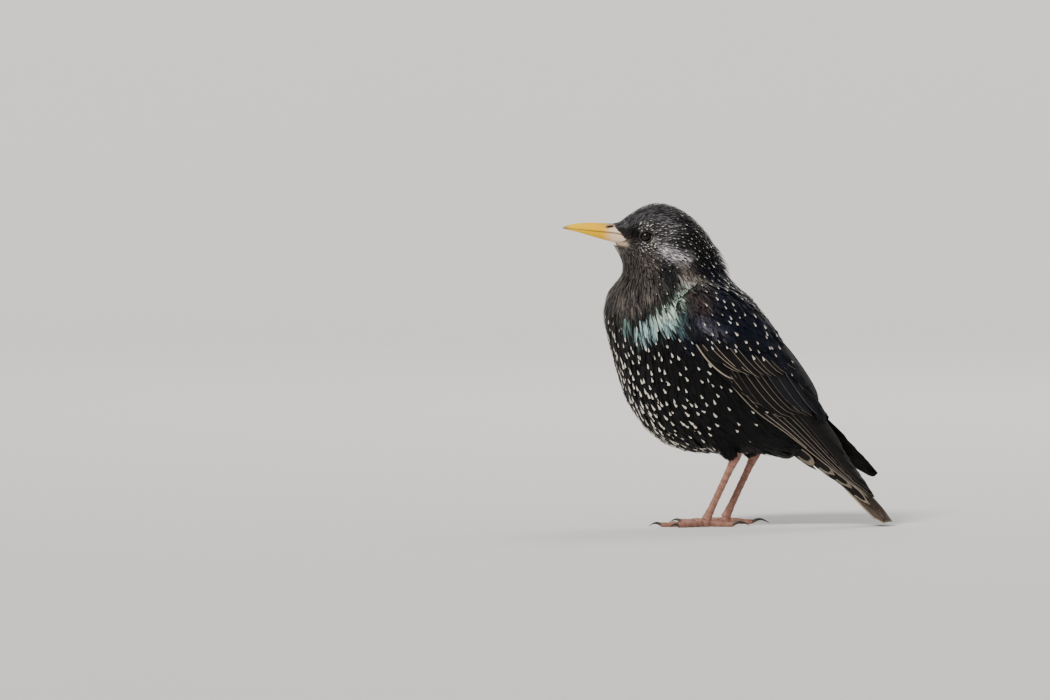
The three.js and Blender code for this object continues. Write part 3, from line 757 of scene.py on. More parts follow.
@dataclass(frozen=True)
class BareSkinFinish:
    """Wrinkled bare skin, for the lids and, redder and scuted, for the legs."""

    name: str
    low: Triple
    high: Triple
    scale: float
    roughness: float

    def build(self, effects: EffectGroups) -> bpy.types.Material:
        """Make the material."""
        recipe = Recipe(self.name, effects)
        mottle = recipe.mottle(self.scale)
        scales = recipe.step(recipe.cells(self.scale * 4.0, "DISTANCE_TO_EDGE"), 0.0, 0.12)
        flesh = recipe.mix(recipe.step(mottle, 0.3, 0.7), self.low, self.high)
        # Darker in the grooves between the leg's scutes and in the lids' creases: painted shade.
        wear_and_groove_shade = recipe.mix(recipe.times(recipe.value("groove"), 0.75), flesh, self.low)
        recipe.bump(recipe.scaled(scales, 0.5, mottle), 0.08, 0.5)
        return recipe.set(Base_Color=wear_and_groove_shade, Roughness=self.roughness)


@dataclass(frozen=True)
class ClawFinish:
    """Dark polished horn that is paler in uneven patches towards its root."""

    name: str = "claw_horn"
    dark: Triple = (0.022, 0.016, 0.013)
    pale: Triple = (0.14, 0.10, 0.075)
    roughness: float = 0.32

    def build(self, effects: EffectGroups) -> bpy.types.Material:
        """Make the material."""
        recipe = Recipe(self.name, effects)
        mottle = recipe.mottle(900.0)
        root = recipe.times(recipe.step(recipe.value("groove"), 0.5, 0.0), mottle)
        recipe.bump(mottle, 0.04, 0.5)
        return recipe.set(Base_Color=recipe.mix(root, self.dark, self.pale), Roughness=self.roughness)


@dataclass(frozen=True)
class FloorFinish:
    """A plain pale studio floor."""

    name: str = "studio_floor"
    tone: Triple = (0.80, 0.795, 0.78)
    patch: Triple = (0.74, 0.735, 0.72)
    roughness: float = 0.85

    def build(self, effects: EffectGroups) -> bpy.types.Material:
        """Make the material."""
        recipe = Recipe(self.name, effects)
        patches = recipe.times(recipe.mottle(3.0), 0.12)
        return recipe.set(Base_Color=recipe.mix(patches, self.tone, self.patch), Roughness=self.roughness)


@dataclass
class DrapeSurface:
    """A triangulated surface in profile millimetres that points can be laid on."""

    tree: BVHTree
    points: np.ndarray
    corners: np.ndarray

    @classmethod
    def of_mesh(cls, mesh: bpy.types.Mesh, placing: Placing) -> DrapeSurface:
        """Take the triangles of a mesh."""
        mesh.calc_loop_triangles()
        co = np.empty(len(mesh.vertices) * 3)
        mesh.vertices.foreach_get("co", co)
        corners = np.empty(len(mesh.loop_triangles) * 3, dtype=np.int32)
        mesh.loop_triangles.foreach_get("vertices", corners)
        points = placing.to_profile(co.reshape(-1, 3))
        corners = corners.reshape(-1, 3)
        return cls(BVHTree.FromPolygons(points.tolist(), corners.tolist()), points, corners)

    def nearest(self, places: np.ndarray) -> tuple[np.ndarray, np.ndarray]:
        """The nearest places on the surface and the way that it faces there.

        Args:
            places: Points in rows of any shape.

        Returns:
            Places and normals of the same shape.
        """
        found = [self.tree.find_nearest(place)[:2] for place in places.reshape(-1, 3).tolist()]
        flat = np.array([(*place, *normal) for place, normal in found])
        return flat[:, :3].reshape(places.shape), flat[:, 3:].reshape(places.shape)

    def scatter(
        self, number: int, dense: Callable[[np.ndarray], np.ndarray], draw: np.random.Generator
    ) -> tuple[np.ndarray, np.ndarray]:
        """Random places, and the way that the surface faces there.

        Args:
            number: How many.
            dense: How many fall on a given area at given places, compared with other places.
            draw: The seeded draw.

        Returns:
            Places and normals.
        """
        a, b, c = (self.points[self.corners[:, i]] for i in range(3))
        facing = np.cross(b - a, c - a)
        share = np.linalg.norm(facing, axis=1) * dense((a + b + c) / 3)
        chosen = draw.choice(len(share), number, p=share / share.sum())
        one, two = draw.random((2, number, 1))
        over = one + two > 1
        one, two = np.where(over, 1 - one, one), np.where(over, 1 - two, two)
        places = a[chosen] + one * (b[chosen] - a[chosen]) + two * (c[chosen] - a[chosen])
        return places, unit(facing[chosen])


@dataclass(frozen=True)
class Guide:
    """What the coat is like at one place.

    It gives the lie, then the feathers' spacing, length and half-width, how pointed they are and how far
    their tips stand off, then how long their pale tips are and how many a square centimetre shows, and
    then the tint and its gloss. All sizes are in millimetres.
    """

    at: Triple
    lie: Triple
    spacing: float
    length: float
    half: float
    point: float
    lift: float
    spot: float
    dots: float
    tint: Triple
    gloss: float

    def row(self) -> list[float]:
        """The values that are mixed between guides."""
        sizes = (self.spacing, self.length, self.half, self.point, self.lift, self.spot, self.dots)
        return [*self.lie, *sizes, *self.tint, self.gloss]


# The columns of a guide's row.
LIE, SPACING, LENGTH, HALF, POINT, LIFT, SPOT, DOTS, TINT = slice(0, 3), *range(3, 10), slice(10, 14)

VELVET = (0.014, 0.011, 0.0095)
JET = (0.006, 0.006, 0.007)
UMBER = (0.128, 0.110, 0.098)
# A grey for the feathers of the forehead, crown and round the eye that stands for painted sheen: their grey
# highlights.
SILVER_SHEEN = (0.135, 0.130, 0.137)
PLUM = (0.022, 0.019, 0.025)
INK = (0.009, 0.012, 0.027)
SLATE = (0.013, 0.014, 0.019)

GUIDES = {
    "lores": Guide((-41, 5, 131.5), (0.9, 0.45, 0.1), 0.45, 2.0, 0.3, 0.9, 0.25, 0.0, 0.0, VELVET, 0.0),
    "lores_rear": Guide((-37, 7.5, 130), (0.95, 0.3, 0.0), 0.45, 2.0, 0.3, 0.9, 0.25, 0.0, 0.0, VELVET, 0.0),
    "lores_high": Guide((-40.5, 5.5, 135), (0.85, 0.2, 0.3), 0.46, 2.0, 0.28, 0.9, 0.3, 1, 0, SILVER_SHEEN, 0.25),
    "lores_low": Guide((-38, 7.0, 125.8), (0.8, 0.3, -0.4), 0.46, 2.1, 0.28, 0.9, 0.3, 0.0, 0, UMBER, 0.1),
    "forehead": Guide((-42, 2.5, 137.6), (0.75, 0.1, 0.62), 0.6, 2.2, 0.27, 0.8, 0.3, 1.0, 0, SILVER_SHEEN, 0.3),
    "forehead_side": Guide((-38, 7, 136.5), (0.85, 0.1, 0.45), 0.6, 2.4, 0.27, 0.8, 0.3, 1.0, 0, SILVER_SHEEN, 0.3),
    "crown": Guide((-27, 3, 143.5), (1.0, 0.05, -0.05), 0.72, 3.4, 0.3, 0.9, 0.45, 0.8, 0, SILVER_SHEEN, 0.25),
    "crown_side": Guide((-26, 9, 139), (0.97, 0.1, -0.2), 0.68, 3.2, 0.3, 0.85, 0.4, 0.8, 0, SILVER_SHEEN, 0.25),
    "hind_crown": Guide((-14, 3, 138), (0.8, 0.0, -0.6), 0.85, 4.2, 0.38, 0.85, 0.6, 1.2, 3.5, PLUM, 0.3),
    "nape": Guide((-6, 4, 130), (0.5, 0.0, -0.87), 0.95, 4.8, 0.4, 0.85, 0.8, 1.15, 11, JET, 0.3),
    "nape_low": Guide((-1.5, 4, 123.5), (0.4, 0.0, -0.92), 1.0, 5.4, 0.44, 0.85, 2.0, 1.3, 13, JET, 0.3),
    "nape_side": Guide((-9, 12, 124), (0.5, 0.0, -0.87), 0.9, 4.8, 0.36, 0.85, 0.7, 1.1, 14, JET, 0.3),
    "brow": Guide((-33, 9, 133.4), (0.98, 0.1, 0.0), 0.58, 2.4, 0.33, 0.5, 0.5, 1.35, 50, SILVER_SHEEN, 0.3),
    "eye_rear": Guide((-26, 11, 131), (0.95, 0.1, -0.1), 0.62, 2.6, 0.33, 0.8, 0.45, 1.15, 26, SILVER_SHEEN, 0.25),
    "below_eye": Guide((-31, 10, 124.6), (0.85, 0.1, -0.4), 0.62, 2.6, 0.33, 0.5, 0.5, 1.35, 70, SILVER_SHEEN, 0.3),
    "brow_top": Guide((-33, 8, 137.0), (0.97, 0.1, 0.0), 0.6, 2.6, 0.3, 0.8, 0.35, 1.0, 0.0, SILVER_SHEEN, 0.3),
    "cheek": Guide((-31, 10.5, 119.0), (0.7, 0.1, -0.7), 0.7, 3.2, 0.3, 0.9, 0.45, 1.0, 0.0, UMBER, 0.2),
    "cheek_low": Guide((-36, 8, 118.5), (0.6, 0.1, -0.75), 0.7, 3.4, 0.3, 0.95, 0.5, 0.7, 1, UMBER, 0.15),
    "ear": Guide((-21, 12.5, 121), (0.85, 0.1, -0.5), 0.75, 3.6, 0.34, 0.9, 0.5, 1.15, 24, PLUM, 0.35),
    "chin": Guide((-45, 2.5, 123.5), (0.4, 0.1, -0.9), 0.5, 2.6, 0.3, 0.9, 0.4, 0.0, 0, UMBER, 0.1),
    "throat": Guide((-43, 4, 113), (0.0, 0.0, -1.0), 0.85, 7.0, 0.36, 1.0, 0.9, 0.0, 0, UMBER, 0.15),
    "throat_side": Guide((-33, 10, 112), (0.25, 0.0, -0.97), 0.9, 6.5, 0.38, 1.0, 0.8, 0.5, 0.0, UMBER, 0.15),
    "neck_side": Guide((-17, 15, 113), (0.4, 0.0, -0.92), 1.0, 6.5, 0.46, 1.0, 0.8, 1.1, 3, JET, 0.25),
    "hind_neck": Guide((3, 7, 113), (0.6, 0.0, -0.8), 1.25, 6.5, 0.85, 0.75, 0.5, 1.7, 10, INK, 0.35),
    "breast_top": Guide((-48, 8, 101), (-0.05, 0.0, -1.0), 1.1, 11.0, 0.5, 1.0, 1.0, 1.1, 1.2, UMBER, 0.2),
    "breast_mid": Guide((-34, 18, 99), (0.22, 0.0, -0.97), 1.1, 11.0, 0.55, 1.0, 0.9, 1.1, 1.2, UMBER, 0.2),
    "breast_front": Guide((-49.5, 7, 86), (0.12, 0.0, -1.0), 1.2, 11.0, 0.7, 0.95, 0.9, 2.3, 8, JET, 0.2),
    "breast_side": Guide((-30, 22, 88), (0.3, 0.0, -0.95), 1.25, 11.0, 0.75, 0.95, 1.1, 2.1, 3.4, JET, 0.25),
    "shoulder": Guide((-17, 26, 97), (0.5, 0.0, -0.87), 1.4, 10.0, 0.95, 0.8, 1.0, 1.5, 2.4, JET, 0.3),
    "flank_front": Guide((-30, 24, 74), (0.35, 0.0, -0.94), 1.5, 10.0, 1.05, 0.75, 1.0, 2.2, 6.0, JET, 0.12),
    "breast_low": Guide((-45, 8, 68), (0.3, 0.0, -0.95), 1.3, 10.0, 1.0, 0.8, 1.0, 3.2, 14, JET, 0.12),
    "belly_front": Guide((-36, 9, 50), (0.6, 0.0, -0.8), 1.3, 9.0, 1.0, 0.75, 0.9, 3.8, 20, JET, 0.12),
    "flank": Guide((-12, 26, 66), (0.5, 0.0, -0.86), 1.7, 10.0, 1.3, 0.65, 0.9, 2.15, 4.6, JET, 0.1),
    "belly_side": Guide((-18, 20, 46), (0.68, 0.0, -0.73), 1.6, 9.5, 1.2, 0.65, 0.9, 2.5, 7.5, JET, 0.1),
    "belly": Guide((-6, 5, 33), (1.0, 0.0, -0.1), 1.7, 9.0, 1.3, 0.6, 0.8, 3.2, 8.0, JET, 0.1),
    "flank_rear": Guide((8, 20, 48), (0.75, 0.0, -0.66), 1.8, 11.0, 1.4, 0.6, 0.9, 2.2, 2.2, JET, 0.1),
    "under_wing": Guide((24, 15, 42), (0.85, 0.0, -0.5), 1.8, 10.0, 1.4, 0.6, 0.8, 1.0, 0.0, JET, 0.1),
    "vent": Guide((22, 7, 33), (0.92, 0.0, -0.38), 1.8, 9.5, 1.4, 0.55, 0.8, 2.4, 0.0, JET, 0.1),
    "thigh": Guide((7, 13, 38), (0.45, 0.0, -0.9), 1.1, 4.5, 0.6, 0.6, 0.5, 0.8, 0.5, JET, 0.1),
    "mantle": Guide((8, 8, 105), (0.66, 0.0, -0.75), 1.55, 9.0, 1.25, 0.55, 0.9, 1.9, 6, INK, 0.4),
    "mantle_side": Guide((3, 17, 99), (0.6, 0.0, -0.8), 1.55, 9.5, 1.3, 0.55, 0.9, 1.75, 9, INK, 0.35),
    "wrist": Guide((-12, 28, 96), (0.5, 0.0, -0.87), 1.1, 5.0, 0.8, 0.6, 0.8, 1.4, 1.6, PLUM, 0.35),
    "covert_front": Guide((-8, 29, 87), (0.6, 0.0, -0.8), 1.2, 5.5, 0.95, 0.4, 0.9, 1.5, 2.0, INK, 0.35),
    "covert_mid": Guide((3, 27, 92), (0.6, 0.0, -0.8), 1.3, 6.5, 1.1, 0.4, 0.9, 1.8, 4.0, INK, 0.4),
    "covert_rear": Guide((13, 23, 86), (0.62, 0.0, -0.78), 1.5, 8.0, 1.3, 0.45, 0.9, 2.2, 2.4, INK, 0.4),
    "scapular": Guide((14, 14, 90), (0.58, 0.0, -0.81), 1.8, 11.0, 1.6, 0.5, 0.9, 2.1, 3.6, INK, 0.4),
    "back": Guide((25, 4, 84), (0.58, 0.0, -0.81), 1.9, 12.0, 1.8, 0.4, 0.8, 1.8, 1.6, INK, 0.35),
    "rump": Guide((37, 4, 56), (0.6, 0.0, -0.8), 1.9, 12.0, 1.8, 0.45, 0.7, 1.8, 0.4, SLATE, 0.3),
    "tail_root": Guide((42, 5, 33), (0.74, 0.0, -0.67), 1.8, 10.0, 1.6, 0.5, 0.6, 2.6, 0.0, JET, 0.15),
}


@dataclass(frozen=True)
class Sheen:
    """A stroke of colour and gloss on both sides of the coat, along a line in profile: painted sheen where it
    has gloss, standing for the light catching the coat, and plain colour where it has none.

    It starts at a distance from the bird's middle plane, in millimetres.
    """

    line: tuple[Pair, ...]
    width: float
    colour: Triple
    gloss: float
    inner: float = 0.0

    def share(self, places: np.ndarray) -> np.ndarray:
        """How much of the stroke places take, from 0 to 1.

        Args:
            places: Points in profile millimetres, one row each.

        Returns:
            The shares.
        """
        flat = places[:, ::2]
        away = np.full(len(flat), 1e9)
        for start, end in zip(np.array(self.line[:-1]), np.array(self.line[1:])):
            way = end - start
            along = np.clip((flat - start) @ way / (way @ way), 0.0, 1.0)
            away = np.minimum(away, np.linalg.norm(flat - start - along[:, None] * way, axis=1))
        out = smoothstep(self.inner - 3.0, self.inner + 1.0, np.abs(places[:, 1]))
        return np.exp(-((away / self.width) ** 2)) * out


# Strokes of painted sheen: the green, turquoise, lilac, bronze, plum, violet and pale strokes paint the
# iridescence and highlights where the light catches the coat. The gape strip and the pale chin are the bird's
# own colour.
SHEENS = {
    "shoulder_green": Sheen(
        ((-12.5, 105), (-15.5, 98.5), (-19.5, 93), (-26, 90)), 2.6, (0.76, 1.0, 0.83), 0.45
    ),
    "shoulder_turquoise": Sheen(((-20, 89), (-28.5, 86)), 2.2, (0.60, 0.92, 0.90), 0.45),
    "shoulder_edge": Sheen(((-14, 92), (-15, 86)), 1.6, (0.14, 0.23, 0.25), 0.5),
    "breast_turquoise": Sheen(((-32, 86.5), (-33, 82.5)), 2.0, (0.63, 0.92, 0.94), 0.45),
    "breast_green": Sheen(((-39.5, 88), (-41, 84.5)), 1.4, (0.24, 0.40, 0.36), 0.5),
    "ear_lilac": Sheen(((-23.5, 123.0), (-19, 119.5), (-14.5, 118)), 2.5, (0.95, 0.88, 0.94), 0.2, 9.0),
    "neck_bronze": Sheen(((-15, 113.5), (-11, 109)), 2.4, (0.13, 0.105, 0.085), 0.4, 11.0),
    "wrist_highlight": Sheen(((-14, 107.5), (-8, 106)), 2.4, (0.44, 0.40, 0.36), 0.4, 15.0),
    "shoulder_strands": Sheen(((-8, 107), (1, 106), (9, 104)), 1.1, (0.30, 0.27, 0.24), 0.4, 16.0),
    "mantle_plum": Sheen(((-11, 101), (-5, 97)), 3.6, (0.070, 0.050, 0.048), 0.4, 18.0),
    "covert_violet": Sheen(((-6, 89.5), (1, 86)), 2.8, (0.15, 0.14, 0.18), 0.4, 20.0),
    "gape_strip": Sheen(((-46.5, 125.8), (-41.6, 125.4)), 0.9, (0.74, 0.55, 0.40), 0.0),
    "chin_pale": Sheen(((-47.8, 124.6), (-45.0, 121.0)), 1.1, (0.60, 0.54, 0.47), 0.0),
}


@dataclass
class WingForm:
    """The smooth outer surface of a folded wing, from the wrist to the tip, with an end for each side."""

    side: Side
    low: tuple[Triple, ...] = (
        (-20.0, -27.0, 99.5), (-13.5, -29.8, 87.0), (-5.5, -30.0, 75.5),
        (5.0, -28.0, 64.6), (16.4, -23.6, 52.2), (29.8, -17.6, 42.2),
    )
    high: tuple[Triple, ...] = (
        (-8.5, -19.6, 108.5), (5.2, -14.4, 105.0), (18.8, -9.0, 94.2),
        (29.4, -5.6, 79.8), (39.4, -4.0, 64.8), (47.3, -3.6, 50.2),
    )
    left_end: tuple[Triple, ...] = (
        (47.6, -11.8, 27.6), (66.4, -10.6, 12.6), (59.2, -4.4, 28.6), (70.2, -8.6, 13.4),
    )
    right_end: tuple[Triple, ...] = (
        (51.4, -11.4, 30.4), (68.0, -9.8, 20.6), (60.6, -4.4, 34.2), (70.8, -7.4, 23.4),
    )
    bulge: tuple[float, ...] = (3.0, 5.4, 5.4, 4.6, 3.4, 2.0, 0.8, 0.1)

    def edges(self, along: np.ndarray) -> tuple[np.ndarray, np.ndarray]:
        """The lower and the upper edge at places along the wing."""
        end = self.left_end if self.side is Side.LEFT_SIDE else self.right_end
        low, high = np.array(self.low + end[:2]), np.array(self.high + end[2:])
        return smooth_line(low, along), smooth_line(high, along)

    def span(self, along: np.ndarray) -> np.ndarray:
        """The wing's width at places along it."""
        low, high = self.edges(along)
        return np.linalg.norm(high - low, axis=-1)

    def _surface(self, along: np.ndarray, across: np.ndarray) -> np.ndarray:
        """The left wing's surface."""
        low, high = self.edges(along)
        way = high - low
        outward = np.stack([np.zeros_like(along), -way[..., 2], way[..., 1]], axis=-1)
        depth = smooth_line(np.array(self.bulge)[:, None], along)
        swell = (4 * across * (1 - across))[..., None] * depth
        return low + way * across[..., None] + unit(outward) * swell

    def point(self, along: np.ndarray, across: np.ndarray, above: np.ndarray) -> np.ndarray:
        """Points on or above a wing.

        Args:
            along: Shares from the wrist to the tip.
            across: Shares from the lower edge to the upper.
            above: Millimetres above the surface.

        Returns:
            The points.
        """
        step = 0.01
        middle = np.clip(along, step, 1 - step)
        du = self._surface(middle + step, across) - self._surface(middle - step, across)
        dv = self._surface(middle, across + step) - self._surface(middle, across - step)
        normal = unit(np.cross(dv, du))
        normal = np.where(normal[..., 1:2] > 0, -normal, normal)
        points = self._surface(along, across) + normal * above[..., None]
        return points * np.array([1.0, -self.side.sign, 1.0])


@dataclass(frozen=True)
class Tier:
    """One layer of wing feathers, from the lower edge of the wing to the upper."""

    count: int
    roots: tuple[Pair, Pair]
    tips: tuple[Pair, ...]
    half: Pair
    height: Pair
    tuck: float
    shape: TipShape | None
    pale: Pair
    buff: Pair
    colour: Triple
    plain: float = 0.0
    stacked: float = 0.0


SOOT = (0.010, 0.0085, 0.0085)
PITCH = (0.0055, 0.0045, 0.0045)

# The pale is the width of a flight feather's edge or the length of a small covert's pale tip, at the wing's
# lower edge and at its upper one. The buff is how buff and not grey that edge is, or how glossy the covert
# is, and the plain is the share of vanes without any pale.
WING_TIERS = {
    "primaries": Tier(
        10, ((0.44, 0.03), (0.52, 0.55)), ((1.0, 0.1), (1.0, 0.4), (0.99, 0.75), (0.84, 0.88)),
        (2.6, 3.2), (-0.1, 0.35), 0.35, None, (0.38, -0.12), (0.5, 0.9), SOOT, stacked=0.3,
    ),
    "secondaries": Tier(
        6, ((0.32, 0.2), (0.38, 0.6)), ((0.68, 0.22), (0.69, 0.36), (0.7, 0.5), (0.72, 0.66)),
        (3.2, 3.6), (0.0, 0.75), 0.35, TipShape.LONG, (0.24, 0.12), (0.3, 0.7), SOOT,
    ),
    "tertials": Tier(
        4, ((0.34, 0.55), (0.36, 0.9)), ((0.68, 0.5), (0.725, 0.64), (0.74, 0.8), (0.66, 0.95)),
        (3.6, 4.4), (0.1, 1.2), 0.4, TipShape.ROUND, (0.15, 0.12), (0.0, 0.3), SLATE,
    ),
    "primary_coverts": Tier(
        5, ((0.28, 0.05), (0.34, 0.22)), ((0.5, 0.04), (0.56, 0.1), (0.61, 0.16)),
        (2.2, 2.4), (0.1, 0.95), 0.3, TipShape.LONG, (0.16, 0.08), (0.4, 0.8), PITCH, 0.4,
    ),
    "greater_coverts": Tier(
        12, ((0.16, 0.1), (0.34, 0.8)),
        ((0.43, 0.16), (0.47, 0.26), (0.51, 0.42), (0.534, 0.65), (0.526, 0.87)),
        (2.4, 3.2), (0.1, 1.45), 0.3, TipShape.ROUND, (0.27, 0.1), (0.4, 1.0), SOOT,
    ),
    "alula": Tier(
        2, ((0.21, 0.03), (0.2, 0.09)), ((0.42, 0.04), (0.36, 0.1)),
        (1.7, 1.9), (0.1, 1.5), 0.3, TipShape.ROUND, (0.48, 0.06), (0.9, 1.0), PITCH,
    ),
}
COVERT_TIERS = {
    "median": Tier(
        13, ((0.11, 0.03), (0.3, 0.7)), ((0.2, 0.06), (0.271, 0.17), (0.33, 0.3), (0.4, 0.44), (0.436, 0.72)),
        (1.9, 2.6), (0.1, 1.9), 0.25, TipShape.BLUNT, (1.5, 2.2), (0.2, 0.45), SLATE, 0.45,
    ),
}


def atlas(number: int, rows: int, columns: int) -> tuple[np.ndarray, ...]:
    """Cells of the bake map, one for each vane: its upper face in one half, its under face in the other.

    Args:
        number: How many vanes there are.
        rows: Rows of a vane's vertices.
        columns: Columns of a vane's vertices.

    Returns:
        Map places of the upper faces and of the under faces, by vane, row and column.
    """
    margin, cells = 0.04, math.ceil(math.sqrt(number))
    high, wide = np.linspace(margin, 1 - margin, rows), np.linspace(margin, 0.5 - margin, columns)
    v, u = np.meshgrid(high, wide, indexing="ij")
    index = np.arange(number)
    corner = np.stack([index % cells, index // cells], axis=-1)[:, None, None]
    return tuple((corner + np.stack([u + shift, v], axis=-1)) / cells for shift in (0.5, 0.0))


class VaneGrid:
    """The rows and columns that a long vane is drawn on, with its tip's middle drawn out."""

    tip_from = 0.85
    early = 0.7

    def __init__(self, rows: int, columns: int, crowding: float, drawn: float) -> None:
        """Lay out the grid.

        Args:
            rows: Rows from root to tip.
            columns: Columns from edge to edge.
            crowding: The power that sets the rows closer at the tip when it is under 1.
            drawn: How far the middle of the tip stands out, as a share of the vane.
        """
        self.row = np.linspace(0, 1, rows) ** crowding
        self.aside = np.linspace(-1, 1, columns)
        pull = drawn * self.aside**2 * smoothstep(self.tip_from, 1.0, self.row)[:, None]
        self.path = (self.row[:, None] - pull)[None]

    def outline(self, shape: TipShape) -> np.ndarray:
        """The share of its half-width that a vane of a shape has at each row."""
        places = np.linspace(0, 1, len(shape.value)) ** self.early
        return np.interp(self.row, places, shape.value)[None, :, None]

    def ways(self, roots: np.ndarray, tips: np.ndarray) -> list[np.ndarray]:
        """Each coordinate along the straight ways from roots to tips, by vane, row and column."""
        return [between(ends, self.path) for ends in zip(roots.T[..., None, None], tips.T[..., None, None])]


@dataclass
class Wing:
    """One folded wing: tiers of long vanes, then of small coverts, over a thin core.

    The inside is how many half-widths of a vane stay between its middle and the wing's lower and upper
    edge. The core is the part of the wing that its arm fills, along it and across it, and the thin hand
    is by how much the core thins, and between which places along it.
    """

    side: Side
    form: WingForm
    own_tip: TipShape
    rows: int = 16
    columns: int = 7
    thick: float = 0.16
    quill_rise: float = 0.16
    scatter: float = 0.014
    jitter: float = 0.12
    crowding: float = 0.8
    drawn: float = 0.03
    rising: float = 0.6
    inside: Pair = (0.85, 0.8)
    pale_scope: Pair = (0.8, 0.4)
    light_scope: Pair = (0.8, 0.5)
    core: tuple[float, float, float, float] = (0.02, 0.74, 0.05, 0.96)
    thin_hand: Triple = (0.72, 0.45, 0.76)
    thin_edges: float = 0.6
    arm: Pair = (-0.5, 6.0)

    def vanes(self, tier: Tier, maps: list[np.ndarray], draw: np.random.Generator) -> VaneSet:
        """Lay the vanes of one tier.

        Args:
            tier: The tier.
            maps: The bake map of the vanes' upper and of their under faces.
            draw: The seeded draw.

        Returns:
            The vanes.
        """
        grid = VaneGrid(self.rows, self.columns, self.crowding, self.drawn)
        count, aside, path = tier.count, grid.aside, grid.path
        share = np.linspace(0, 1, count)
        roots = between(np.array(tier.roots), share[:, None])
        tips = smooth_line(np.array(tier.tips), share)
        tips += unsettled(draw, self.scatter, tips.shape) * (1.0, 2.0)
        along, middle = grid.ways(roots, tips)
        along = np.clip(along, 0.0, 1.0)
        half, outline = between(tier.half, share)[:, None, None], grid.outline(tier.shape or self.own_tip)
        offset, wide, span = aside * half * outline, half * outline, self.form.span(along)
        near, far = self.inside
        inner = (near * wide + tier.stacked * np.arange(count)[:, None, None]) / span
        outer = np.maximum(1 - far * wide / span, 0.5)
        across = np.minimum(np.clip(middle, inner, None), outer) + offset / span
        jitter = unsettled(draw, self.jitter, count)[:, None, None]
        rise = between(tier.height, path**self.rising)
        above = rise - aside * tier.tuck + self.quill_rise * (1 - np.abs(aside)) + jitter
        top = self.form.point(along, across, above)
        under = self.form.point(along, across, above - self.thick)
        length = np.linalg.norm(np.diff(top[:, :, self.columns // 2], axis=1), axis=-1).sum(axis=1)
        before_tip = (1 - path) * length[:, None, None]
        pale = np.maximum(between(tier.pale, share), 0.0) * varied(draw, self.pale_scope, count)
        pale *= draw.random(count) >= tier.plain
        buff = between(tier.buff, draw.random(count))
        tint = np.column_stack([np.array(tier.colour) * varied(draw, self.light_scope, count)[:, None], buff])
        edge = wide * (1 - np.abs(aside))
        vanes = VaneSet(top, offset, before_tip, edge, maps[0], pale, buff, tint, under, maps[1])
        vanes.face(np.tile([0.0, self.side.sign, 0.0], (count, 1)))
        return vanes

    def feathers(
        self, name: str, tiers: dict[str, Tier], placing: Placing, finish: bpy.types.Material,
        draw: np.random.Generator,
    ) -> bpy.types.Object:
        """Make the vanes of some tiers as one piece.

        Args:
            name: What the piece is called, before its side.
            tiers: The tiers, the lowest layer first.
            placing: Where the bird lies.
            finish: The vanes' finish.
            draw: The seeded draw.

        Returns:
            The piece.
        """
        piece = MeshPiece(placing)
        maps = atlas(sum(tier.count for tier in tiers.values()), self.rows, self.columns)
        start = 0
        for tier in tiers.values():
            self.vanes(tier, [part[start : start + tier.count] for part in maps], draw).pour(piece)
            start += tier.count
        return piece.build(f"{name}_{self.side.letter}", finish)

    def slab(self, above: float, thick: float, rows: int = 40, columns: int = 20) -> Form:
        """A closed slab that follows the wing.

        Args:
            above: Where its outer face lies over the wing's surface, in millimetres.
            thick: Its thickness.
            rows: Rows of vertices.
            columns: Columns of vertices.

        Returns:
            Vertices and faces.
        """
        first, last, low, high = self.core
        shares = np.linspace(first, last, rows), np.linspace(low, high, columns)
        along, across = np.meshgrid(*shares, indexing="ij")
        thinner, start, end = self.thin_hand
        to_hand = 1 - thinner * smoothstep(start, end, along)
        to_edge = 1 - self.thin_edges + self.thin_edges * np.sin(np.pi * across) ** 0.5
        thin = thick * to_hand * to_edge
        faces = shell_faces(rows, columns)
        if self.side is Side.LEFT_SIDE:
            faces = faces[:, ::-1]
        layers = (self.form.point(along, across, height) for height in (above + 0 * along, above - thin))
        return np.vstack([layer.reshape(-1, 3) for layer in layers]), faces

    def under_wing(self, placing: Placing, finish: bpy.types.Material) -> bpy.types.Object:
        """Make the arm and hand of the wing under its feathers.

        Args:
            placing: Where the bird lies.
            finish: Its finish.

        Returns:
            The piece.
        """
        piece = MeshPiece(placing)
        points, faces = self.slab(*self.arm)
        piece.add(points, faces, tint=np.tile([*JET, 0.0], (len(points), 1)))
        return piece.build(f"wing_arm_{self.side.letter}", finish)

    def place_on(self, points: np.ndarray) -> tuple[np.ndarray, np.ndarray, np.ndarray]:
        """Where points lie on the wing.

        Args:
            points: Points in profile millimetres.

        Returns:
            Shares along and across the wing, and the distance to it.
        """
        along, across = np.meshgrid(np.linspace(0, 1, 90), np.linspace(0, 1, 40), indexing="ij")
        tree = near_tree(self.form.point(along, across, 1.0 + 0 * along).reshape(-1, 3))
        index, away = zip(*(tree.find(place)[1:] for place in points.tolist()))
        return along.ravel()[list(index)], across.ravel()[list(index)], np.array(away)


